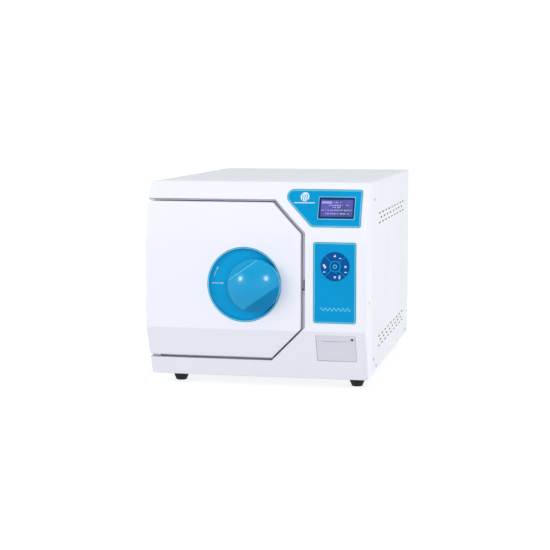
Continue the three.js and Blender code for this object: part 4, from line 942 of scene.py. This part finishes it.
def knob():
    """A shallow dome on a flat shelf, cut by a steep step above the grip and by a slope below it."""
    low, high = span("knob")
    shelf, top = KNOB_SHELF, low.y
    rise = shelf - top
    base = KNOB_RADIUS - 0.5
    ball = (base**2 + rise**2) / (2 * rise)

    def height(across, along):
        return math.sqrt(max(ball**2 - across**2 - along**2, 0)) - ball + rise

    rows = []
    for turn in np.linspace(-0.495 * math.pi, 0.495 * math.pi, 90):
        along = base * math.sin(turn)
        rim = base * math.cos(turn)
        start, end = -min(KNOB_STEP, rim), min(KNOB_SLOPE, rim)
        ring = [(across, height(across, along)) for across in np.linspace(start, end, 36)]
        ring += [(end + (rim - end) * k / 10, height(end, along) * (1 - k / 10)) for k in range(1, 11)]
        ring = [(start, -3), *ring, (rim, -3)]
        rows.append([(along, shelf - h, -across) for across, h in ring])
    cap = loft("knob_grip", rows, place=KNOB_PLACE)

    def across(p):
        return (KNOB_PLACE.inverted() @ p).z

    bevel(cap, 1.4, 3, 25, lambda p: p.y < shelf - 0.3 and across(p) > KNOB_STEP - 1)
    skirt = lathe("skirt", rounded([(0, high.y), (40, high.y), (40, -5, 1), (KNOB_RADIUS, -5, 1.2),
                                    (KNOB_RADIUS, shelf, 1.6), (0, shelf)], 5, closed=False), steps=192,
                  place=KNOB_PLACE)
    cut(skirt, rod("socket", "y", 6.3, -10, 40, (KNOB.x, KNOB.z), 32))
    whole = done(join(skirt, cap), KNOB_BLUE, "knob", "knob_blue", "knob", angle=8)
    # Painted shade and highlight: the slope below the grip gets a darker blue for the shade on it, and the chamfer
    # along the step a lighter blue for the highlight that it catches.
    whole.data.materials.append(KNOB_FACET_PAINTED_SHADE)
    whole.data.materials.append(KNOB_EDGE_PAINTED_HIGHLIGHT)
    upwards = KNOB_PLACE.to_3x3() @ Vector((0, 0, 1))
    for face in whole.data.polygons:
        centre = (face.center - CASE_ORIGIN) / MM
        if centre.y < shelf - 0.05 and -across(centre) > KNOB_SLOPE:
            face.material_index = 1
        elif centre.y < shelf - 0.5 and across(centre) > KNOB_STEP - 1.6 and 0.3 < face.normal.dot(upwards) < 0.95:
            face.material_index = 2


def hinge_pins():
    reach = DOOR_GAP["level"]
    ends = (("hinge_pin_upper", DOOR_HIGH.z + reach, 1), ("hinge_pin_lower", DOOR_LOW.z - reach, -1))
    for name, face, way in ends:
        profile = [(0, -24), (5, -24, 1), (5, WALL + GAP), (8, WALL + GAP, 0.4), (8, 8, 1), (0, 8)]
        placed = rounded([(r[0], face + way * r[1], *r[2:]) for r in profile], 4, closed=False)
        done(lathe(name + "_turned", placed, "z", (HINGE.x, HINGE.y), 40), STEEL, "casing", "steel", name)


# ---------------------------------------------------------------- display and keypad

def display():
    """The printed inlay on the bulge: an outline, a light line, the field, the emblem and the screen."""
    opening = dict(xs=(-37.3, 37.3), ys=(-40, 40), zs=(-24.5, 24.5), place=DISPLAY_PLACE)
    sheets = (("inlay_edge", 0, -0.5, EDGE_TEAL), ("inlay_line", 1.0, -0.65, LINE_CYAN),
              ("inlay_field", 2.9, -0.8, PANEL_BLUE))
    for name, inset, front, material in sheets:
        sheet = cut(layer(name, display_outline(inset), front, 1.2), block("opening", **opening))
        bevel(sheet, 0.12, 1, 60)
        done(sheet, material, "casing", "panel_blue", *(["display_panel"] if inset == 0 else []))

    emblem = layer("emblem", circle((96.8, 360.6), 8.6, 64), -0.92, 0)
    for dx in (-4.4, 0, 4.4):
        steam = [(x, z) for z, x in wave(353.4, 365.8, 96.8 + dx, 1.7, 6.2, 1.5)]
        cut(emblem, prism("steam", anticlockwise(steam), "y", -60, 80))
    done(emblem, PRINT_WHITE, "casing", "panel_blue")
    rule = layer("emblem_rule", rectangle(76.5, 117.5, 348.6, 350.2, 0.7, 4), -0.92, 0)
    done(rule, PRINT_WHITE, "casing", "panel_blue")

    for name, width, height, front, material in (("bezel_line", 74, 48.4, 0, LINE_CYAN),
                                                 ("bezel", 70.4, 44.8, -0.35, NAVY)):
        frame_piece = prism(name, rectangle(-width / 2, width / 2, -height / 2, height / 2, 1.8), "y", front, 9,
                            0, 3, DISPLAY_PLACE, 0.5)
        cut(frame_piece, block("opening", (-32, 32), (-5, 2.7), (-18, 18), place=DISPLAY_PLACE))
        done(frame_piece, material, "casing", "display_navy", *(["display_bezel"] if front == 0 else []))
    glass = prism("screen", rectangle(-31.8, 31.8, -17.8, 17.8, 0.4, 2), "y", 0.9, 2.5, 0.2, 2, DISPLAY_PLACE)
    done(glass, SCREEN, "casing", "display_glass", "display_window")
    screen_marks()


def screen_marks():
    """Rows of small lit blocks on the screen, as of a menu seen from afar."""
    dice = random.Random(7)
    blocks = [prism("bar", rectangle(-30, -10, 9.6, 14.4), "y", 0.82, 1, place=DISPLAY_PLACE)]
    for z, left, right in ((10.6, -7, 8), (4.6, -16, 22), (0.4, -10, 10), (-5.6, -30, 30), (-13, -22, 25)):
        x = left
        while x < right:
            width = dice.choice((0.9, 1.3, 1.3, 2.2))
            low = dice.choice((0, 0, 0.8))
            if dice.random() < 0.82:
                blocks.append(prism("cell", rectangle(x, x + width, z + low, z + 2.7), "y", 0.82, 1,
                                    place=DISPLAY_PLACE))
            x += width + 0.7
    done(gather("screen_marks", blocks), SCREEN_MARK, "casing", "display_glass")


KEY_TOP = -1.6
KEY_TURNS = {"key_up": 0, "key_right": 90, "key_down": 180, "key_left": -90}


def key_outline(grow=0.0):
    """The key at the top, (x, z) from the middle of the keypad: a ring's quarter between two slanting slits."""
    inner, outer, slit = KEY_INNER - grow, KEY_OUTER + grow, KEY_SLIT - 1.414 * grow

    def edge(radius):
        x = (-slit + math.sqrt(2 * radius**2 - slit**2)) / 2
        return math.degrees(math.atan2(x + slit, x))

    far, near = edge(outer), edge(inner)
    outside = arc((0, 0), outer, far, 180 - far, 24)
    inside = arc((0, 0), inner, 180 - near, near, 12)
    points = [(*p, 0) for p in outside] + [(*p, 0) for p in inside]
    for i in (0, 24, 25, 37):
        points[i] = (*points[i][:2], 1)
    return rounded(points, 3)


def keypad():
    """The keypad's printed film, its five keys and their signs."""
    low, high = KEYPAD_LOW, KEYPAD_HIGH
    centre = Matrix.Translation((KEYS.x, 0, KEYS.z))
    turned = {name: centre @ Matrix.Rotation(math.radians(turn), 4, "Y") for name, turn in KEY_TURNS.items()}
    sheets = (("keypad_edge", 0, -0.3, EDGE_TEAL), ("keypad_line", 1.0, -0.45, LINE_CYAN),
              ("keypad_field", 2.9, -0.6, PANEL_BLUE))
    for name, inset, front, material in sheets:
        outline = rectangle(low.x + inset, high.x - inset, low.z + inset, high.z - inset, 5 - 0.6 * inset, 6)
        sheet = prism(name, outline, "y", front, 2.1, 0, 2, None, 0.12)
        wells = [prism("well", key_outline(0.35), "y", -9, 1.1, place=place) for place in turned.values()]
        wells.append(rod("well", "y", KEY_CENTRE + 0.4, -9, 1.1, (KEYS.x, KEYS.z), 48))
        cut(sheet, *wells)
        done(sheet, material, "casing", "panel_blue", *(["control_panel"] if inset == 0 else []))
    rule = prism("keypad_rule", wave(132, 192.5, 143, 5.4, 8.64, 1.5), "y", -0.72, 0)
    done(rule, LINE_CYAN, "casing", "panel_blue")

    for name, place in turned.items():
        key = prism(name + "_cap", key_outline(), "y", KEY_TOP, 0.1, 0, 3, place, 0.5)
        done(key, KEY_BLUE, name, "key_blue", name)
    profile = [(0, KEY_TOP + 0.1), (5, KEY_TOP, 3), (KEY_CENTRE, KEY_TOP, 0.7), (KEY_CENTRE, 0.1), (0, 0.1)]
    button = lathe("key_centre_cap", rounded(profile, 4, closed=False), centre=(KEYS.x, KEYS.z), steps=64)
    done(button, KEY_BLUE, "key_centre", "key_blue", "key_centre")
    key_signs()


def key_signs():
    """Signs printed on the keys: three arrows, two stacked sheets, bars, and a ring in the middle."""
    depth = (KEY_TOP - 0.12, KEY_TOP + 0.3)

    def sign(name, shapes, material=None):
        moved = [prism("sign", np.array(shape) + (KEYS.x, KEYS.z), "y", *depth) for shape in shapes]
        done(gather(name + "_sign", moved), material or PRINT_WHITE, name, "key_blue")

    sign("key_up", [[(-2.7, 19), (2.7, 19), (0, 23.6)], rectangle(8, 12, 15.4, 17)])
    sign("key_down", [[(-2.7, -19), (0, -23.6), (2.7, -19)], rectangle(7, 11, -18.8, -17.3),
                      rectangle(7, 11, -21.4, -19.9), rectangle(7, 11, -24, -22.5)])
    sign("key_right", [[(19, -2.7), (23.8, 0), (19, 2.7)], rectangle(18.6, 23.4, -11.6, -10)])
    sign("key_left", [rectangle(-23.6, -19.4, -0.6, 4.2, 1), rectangle(-21.6, -17.4, -3.6, 1.2, 1),
                      rectangle(-23.4, -18.6, -11.6, -10)])
    loop = lathe("key_centre_sign", [(2.7, depth[0]), (4.1, depth[0]), (4.1, depth[1]), (2.7, depth[1])],
                 centre=(KEYS.x, KEYS.z), steps=40)
    done(loop, LINE_CYAN, "key_centre", "key_blue")


# ---------------------------------------------------------------- printer

FEED_BUTTON = (32.5, 20.8)
ROLL_AXIS = (21, -6)  # depth and height in the printer's frame


def printer():
    """The receipt printer in its own tilted frame: a strip with the feed button above a lid, and a bay behind."""
    place = PRINTER_PLACE
    body = join(prism("printer_case", rectangle(-39, 39, 16.4, 29.65, 0.8, 3), "y", 1, 12, 0.2, 2, place, 0.7),
                block("shell", (-38, 38), (5.2, 46), (-28.65, 29.15), 1, place))
    cut(body, block("bay", (-34, 34), (0, 40), (-24, 12), place=place),
        rod("button_hole", "y", 2.7, -9, 8, FEED_BUTTON, 32, place=place))
    bevel(body, 0.3, 2, 60)
    done(body, PRINTER_GREY, "casing", "printer_grey", "printer_body")
    side = [(2.1, -29.4), (3, -29.4), (4, -28.4), (4, 16.2), (1, 16.2), (1, -28.4)]
    lid = prism("printer_door", side, "x", -38.9, 38.9, place=place)
    cut(lid, rod("thumb", "x", 9, -7, 7, (-7.3, 11.6), 48, place=place),
        block("paper_slot", (-27, 21), (-5, 10), (15.5, 20), place=place))
    bevel(lid, 0.3, 3, 50)
    done(lid, PRINTER_GREY, "printer_lid", "printer_grey", "printer_lid")
    dash = prism("printer_mark", rectangle(-8.5, 2.5, -10.1, -8.7, 0.6, 3), "y", 0.88, 1.2, place=place)
    done(dash, PRINT_WHITE, "printer_lid", "printer_grey")
    button = lathe("feed_button_cap", rounded([(0, 0.4), (1.4, 0.5, 2), (2.3, 1.0, 0.5), (2.3, 6.6), (0, 6.6)], 4,
                                              closed=False), centre=FEED_BUTTON, steps=40, place=place)
    done(button, BLACK, "feed_button", "black_plastic", "feed_button")
    wound = rounded([(5.6, -28), (14, -28, 0.4), (14, 28, 0.4), (5.6, 28)], 3)
    done(lathe("paper_wound", wound, "x", ROLL_AXIS, 72, place), PAPER, "paper_roll", "paper", "paper_roll")
    core = [(4.8, -27.8), (5.6, -27.8), (5.6, 27.8), (4.8, 27.8)]
    done(lathe("paper_core", core, "x", ROLL_AXIS, 48, place), BLACK, "paper_roll", "black_plastic")


# ---------------------------------------------------------------- rear fittings

def power_inlet():
    """The mains inlet with its earth and two line pins, and the rocker in its bay."""
    place = INLET_PLACE
    body = join(prism("inlet_body", rectangle(-30, 30, -20, 20, 4, 5), "y", 2.3, 6, 0.8, 3, place, 0),
                block("case", (-26, 26), (-28, 3), (-15, 15), 1, place))
    socket = rounded([(-22, -9, 1.5), (4, -9, 1.5), (4, 3.5, 1), (-1.5, 9, 1), (-16.5, 9, 1), (-22, 3.5, 1)], 4)
    cut(body, prism("socket", socket, "y", -18, 20, place=place),
        block("bay", (8, 22), (-14, 20), (-11, 11), place=place))
    bevel(body, 0.35, 2, 60)
    done(body, BLACK, "casing", "black_plastic", "power_inlet")
    pins = [block("pin", (x - 1, x + 1), (-20, -3), (-3 + dz, 3 + dz), 0.5, place)
            for x, dz in ((-16, -2), (-9, 2), (-2, -2))]
    done(gather("inlet_pins", pins), STEEL, "casing", "steel")
    screws("inlet_screws", "casing", 2.6, 1.4, [(place @ Vector((x, 6, 0)), "back") for x in (-26, 26)])

    rocker_place = place @ Matrix.Translation((15, 0, 0)) @ Matrix.Rotation(math.radians(-10), 4, "X")
    side = rounded([(-3, -9.5, 0.5), (5.2, -9.5, 0.8), (3.6, 0, 8), (5.2, 9.5, 0.8), (-3, 9.5, 0.5), (-7, 0)], 4)
    rocker = prism("rocker", side, "x", -6.2, 6.2, 0.5, 3, rocker_place)
    done(rocker, BLACK, "power_switch", "black_plastic", "power_switch")
    on = prism("on", rectangle(-0.4, 0.4, -1.8, 1.8), "y", 4.2, 4.9,
               place=rocker_place @ Matrix.Translation((0, 0, -5.2)))
    off = lathe("off", [(1.4, 4.2), (2.1, 4.2), (2.1, 4.9), (1.4, 4.9)], steps=32,
                place=rocker_place @ Matrix.Translation((0, 0, 5.2)))
    done(gather("rocker_signs", [on, off]), PRINT_WHITE, "power_switch", "black_plastic")


def drain():
    """The drain valve below the panel's middle, with a lever on its spindle."""
    place = Matrix.Translation(DRAIN)
    nut = prism("drain_body", circle((0, 0), 13, 6), "y", 2.3, 8, 0.6, 2, place)
    barrel = lathe("barrel", rounded([(0, -26), (8, -26, 1), (8, 2.2), (9, 2.2), (9, 12, 0.5), (8, 13.5, 0.5),
                                      (8, 15, 0.5), (9, 16.5, 0.5), (9, 33, 1.2), (0, 33)], 3, closed=False),
                   steps=64, place=place)
    spout = lathe("spout", rounded([(0, 0), (6.5, 0), (6.5, -20), (6, -22, 0.4), (6.5, -24, 0.4), (6.5, -34, 0.6),
                                    (4, -34, 0.3), (4, -4), (0, -4)], 3, closed=False), "z", (0, 23), 48, place)
    gland = rod("gland", "z", 6, 0, 14, (0, 23), 48, 0.6, place)
    done(join(nut, barrel, spout, gland), BRASS, "casing", "brass", "drain_valve_body")
    at = place @ Matrix.Translation((0, 23, 0))
    boss = cut(rod("lever", "z", 8, 9.6, 18, (0, 0), 48, 1, at), rod("bore", "z", 6.4, 8, 14.4, (0, 0), 48, 0, at))
    arm = prism("arm", rounded([(4, -3.2), (44, -4, 3.9), (44, 4, 3.9), (4, 3.2)], 6), "z", 14.9, 17.9, 0.8, 3, at)
    done(join(boss, arm), BRASS, "drain_lever", "brass", "drain_lever")


def relief_valve():
    """The safety valve's body, bonnet and knurled cap, which stands out of the rear panel."""
    profile = rounded([(0, 562), (6, 562), (6, 640, 1), (9, 644, 1), (9, 690, 0.5), (12, 690, 0.8), (12, 706, 1.5),
                       (8, 706, 0.5), (8, 712, 1), (0, 712)], 4, closed=False)
    valve = lathe("valve_turned", profile, centre=(CHAMBER.x, CHAMBER.z), steps=64)
    notches = [rod("notch", "y", 0.9, 692, 704.5, spot, 10)
               for spot in circle((CHAMBER.x, CHAMBER.z), 12.4, 24)]
    cut(valve, gather("notches", notches))
    done(valve, BRASS, "casing", "brass", "safety_valve")


# ---------------------------------------------------------------- chamber and fan

def vessel():
    outer, back = CHAMBER_RADIUS + CHAMBER_WALL, CHAMBER_BACK
    front = CHAMBER_FRONT

    def dished(radius, depth):
        return [(radius * math.cos(a), back + depth * math.sin(a)) for a in np.linspace(0, math.pi / 2, 16)[1:-1]]

    profile = [(0, back + 30), *dished(CHAMBER_RADIUS, 30)[::-1], (CHAMBER_RADIUS, back),
               (CHAMBER_RADIUS, front, 2), (FLANGE_RADIUS, front, 1.5), (FLANGE_RADIUS, front + 12, 1.5),
               (outer, front + 12, 2), (outer, back), *dished(outer, 33), (0, back + 33)]
    turned = lathe("vessel_turned", rounded(profile, 4, closed=False), centre=(CHAMBER.x, CHAMBER.z), steps=160)
    done(turned, TURNED, "casing", "steel", "pressure_vessel")


RACK_HALF_WIDTH = 95.75  # to the middle of each side sheet


def rack():
    """The tray rack: two windowed side sheets with three folded ledges each, held by two cross bars."""
    pieces = []
    for side in (-1, 1):
        place = Matrix.Translation((CHAMBER.x + side * RACK_HALF_WIDTH, 0, 0))
        sheet = prism("rack_side", rectangle(84, 500, 118, 258, 6), "x", -0.75, 0.75, 0.3, 2, place)
        cut(sheet, *[prism("window", rectangle(124, 460, z, z + 24, 8), "x", -9, 9, place=place)
                     for z in (130, 176, 222)])
        pieces.append(bevel(sheet, 0.3, 2, 60, lambda p: 100 < p.y < 480))
        for z in (140.5, 186.5, 232.5):
            xs = sorted((CHAMBER.x + side * 85, CHAMBER.x + side * 96))
            pieces.append(prism("ledge", rectangle(*xs, 84, 500, 1), "z", z, z + 1.5, 0.4, 2))
    for y in (84, 488):
        bar = rectangle(CHAMBER.x - 96, CHAMBER.x + 96, y, y + 12, 1)
        pieces.append(prism("bar", bar, "z", 118, 119.5, 0.4, 2))
    done(gather("rack_sheets", pieces), STEEL, "casing", "steel", "tray_rack")


def trays():
    """Three shallow perforated trays of folded sheet."""
    low, high = span("tray_lower")
    x0, x1, y0, y1 = low.x, high.x, low.y, high.y
    tray = prism("tray", rectangle(x0, x1, y0, y1, 7), "z", low.z, high.z, 0.3, 3, None, 2.5)
    inside = prism("inside", rectangle(x0 + 1.2, x1 - 1.2, y0 + 1.2, y1 - 1.2, 5.8), "z", low.z + 1.2, high.z + 30,
                   0, 3, None, 1.6)
    holes = [rod("hole", "z", 4, low.z - 5, low.z + 8, (x, y), 14)
             for x in np.arange(middle("tray_lower").x - 80, x1 - 9, 20)
             for y in np.arange((y0 + y1) / 2 - 180, y1 - 15, 20)]
    cut(tray, inside, gather("holes", holes))
    for name in ("tray_lower", "tray_middle", "tray_upper"):
        copy = duplicate(tray, (0, 0, span(name)[0].z - low.z))
        copy.name = name + "_sheet"
        done(copy, STEEL_ACROSS, "casing", "steel", name)
    bpy.data.objects.remove(tray)


BLADES = 7


def fan():
    """The fan's rotor: a hub with a bore through it, and seven twisted blades."""
    place = Matrix.Translation((FAN.x, span("fan_housing")[0].y, FAN.z))
    hub = lathe("rotor", rounded([(2.8, 8), (20, 8, 0.6), (20, 30, 2.5), (2.8, 30)], 4), steps=64, place=place)
    rings = []
    for share in (k / 6 for k in range(7)):
        x, chord, pitch = 18 + 33.6 * share, 10.5 - 2.5 * share, math.radians(44 - 18 * share)
        section = rounded([(-chord, -0.9, 0.8), (chord, -0.9, 0.8), (chord, 0.9, 0.8), (-chord, 0.9, 0.8)], 3)
        rings.append([(x, 19 + a * math.sin(pitch) + b * math.cos(pitch),
                       a * math.cos(pitch) - b * math.sin(pitch)) for a, b in section])
    blades = [loft("blade", rings, place @ Matrix.Rotation(2 * math.pi * i / BLADES, 4, "Y"))
              for i in range(BLADES)]
    done(gather("rotor", [hub, *blades]), BLACK, "fan_rotor", "black_plastic", "fan_rotor")


INNER_FINISHES = {
    GALVANISED: ("base_pan", "chamber_cradle", "door_beam"),
    STEEL: ("bolt_guide", "knob_spindle", "strike_plate", "steam_generator", "steam_line"),
    STEEL_ACROSS: ("lock_bolt",),
    BRASS: ("pivot_block_lower", "pivot_block_upper"),
    ALUMINIUM: ("power_supply", "vacuum_pump", "condenser"),
    COPPER: ("heater_band",),
    WOOL: ("insulation_jacket",),
    BOARD: ("control_board",),
    BLACK: ("fan_housing",),
    TANK: ("water_tank",),
}


def inner_pieces():
    """The CAD's own meshes for what the casing hides, with finishes and eased edges."""
    for material, name in ((m, n) for m, names in INNER_FINISHES.items() for n in names):
        obj = bpy.data.objects[name]
        obj.data.materials.clear()
        obj.data.materials.append(material)
        weld = obj.modifiers.new("weld", "WELD")
        weld.merge_threshold = 1e-5
        ease = obj.modifiers.new("ease", "BEVEL")
        ease.width = 0.4 * MM
        ease.segments = 2
        ease.limit_method = "ANGLE"
        ease.angle_limit = math.radians(40)
        normals = obj.modifiers.new("normals", "WEIGHTED_NORMAL")
        normals.keep_sharp = True


# ---------------------------------------------------------------- floor, light and camera

FLOOR_Z = span("foot_front_left")[0].z
FLOOR_REACH = 60e3
CAMERA_PLACE = (0.636, -3.195, 0.565)
CAMERA_LENS = 97.85
CAMERA_PITCH = 6.46  # degrees downwards
CAMERA_HEADING = 11.76


def stage():
    """A pale floor. Its light doesn't reach the object's underside, where the room's own does instead."""
    corners = [(x * FLOOR_REACH, y * FLOOR_REACH, FLOOR_Z) for x, y in ((-1, -1), (1, -1), (1, 1), (-1, 1))]
    floor = make("floor", corners, [(0, 1, 2, 3)])
    surface = Surface("floor", (0.35, 0.35, 0.355, 1), 0.8, Emission_Color=(1, 1, 1, 1), Emission_Strength=0.78)
    surface.vary(surface.noise(0.8, 3), (0.34, 0.34, 0.35, 1))
    floor.data.materials.append(surface.material)
    floor.visible_diffuse = False


def light(name, at, aim, size, power, diffuse=True, glossy=True):
    lamp = bpy.data.lights.new(name, "AREA")
    lamp.shape = "RECTANGLE"
    lamp.size = lamp.size_y = size
    lamp.energy = power
    obj = bpy.data.objects.new(name, lamp)
    bpy.context.scene.collection.objects.link(obj)
    obj.location = at
    obj.rotation_euler = (Vector(aim) - Vector(at)).to_track_quat("-Z", "Y").to_euler()
    obj.visible_diffuse, obj.visible_glossy = diffuse, glossy


SOFTBOXES = [(-2.2, -2.3, 0.95), (1.6, -2.75, 1.2)]
SOFTBOX_AIM = (0, -0.35, 0.2)
# The room's colour at these heights, from straight down to straight up.
SKY = [(-1, (0.52, 0.52, 0.55)), (-0.04, (0.57, 0.57, 0.6)), (-0.012, (1.03, 1.03, 1.04)),
       (0.1, (1.03, 1.03, 1.06)), (0.34, (0.7, 0.71, 0.74)), (0.55, (0.42, 0.43, 0.46)), (1, (0.38, 0.39, 0.42))]


def studio():
    """A pale room, white near the horizon, two small lamps beside the camera for the highlights, and wide
    ones in the same places and at the right for the even light."""
    world = bpy.data.worlds.new("studio")
    bpy.context.scene.world = world
    world.use_nodes = True
    nodes, links = world.node_tree.nodes, world.node_tree.links
    background = nodes["Background"]
    heading = nodes.new("ShaderNodeTexCoord").outputs["Generated"]
    split = nodes.new("ShaderNodeSeparateXYZ")
    links.new(heading, split.inputs[0])
    ramp = nodes.new("ShaderNodeValToRGB")
    share = nodes.new("ShaderNodeMapRange")
    share.inputs["From Min"].default_value = -1
    links.new(split.outputs["Z"], share.inputs["Value"])
    links.new(share.outputs["Result"], ramp.inputs[0])
    stops = ramp.color_ramp.elements
    for place, (height, shade) in enumerate(SKY):
        stop = stops[place] if place < 1 else stops.new((height + 1) / 2)
        stop.position, stop.color = (height + 1) / 2, (*shade, 1)
    links.new(ramp.outputs["Color"], background.inputs["Color"])
    background.inputs["Strength"].default_value = 1.0
    for name, place in zip(("left", "right"), SOFTBOXES):
        light("softbox_" + name, place, SOFTBOX_AIM, 0.45, 30, diffuse=False)
        light("wide_" + name, place, SOFTBOX_AIM, 2, 24, glossy=False)
    light("side_fill", (3.0, 0.4, 1.0), (0, -0.1, 0.2), 2, 17)


def camera():
    data = bpy.data.cameras.new("camera")
    data.sensor_width = 36
    data.lens = CAMERA_LENS
    obj = bpy.data.objects.new("camera", data)
    bpy.context.scene.collection.objects.link(obj)
    obj.location = CAMERA_PLACE
    obj.rotation_euler = (math.radians(90 - CAMERA_PITCH), 0, math.radians(CAMERA_HEADING))
    bpy.context.scene.camera = obj


bpy.context.scene.view_settings.view_transform = "Standard"
camera()
stage()
studio()
front_shell()
cover()
rear()
feet()
door_shell()
door_back()
plate_and_gasket()
dish()
knob()
hinge_pins()
display()
keypad()
printer()
power_inlet()
drain()
relief_valve()
vessel()
rack()
trays()
fan()
inner_pieces()
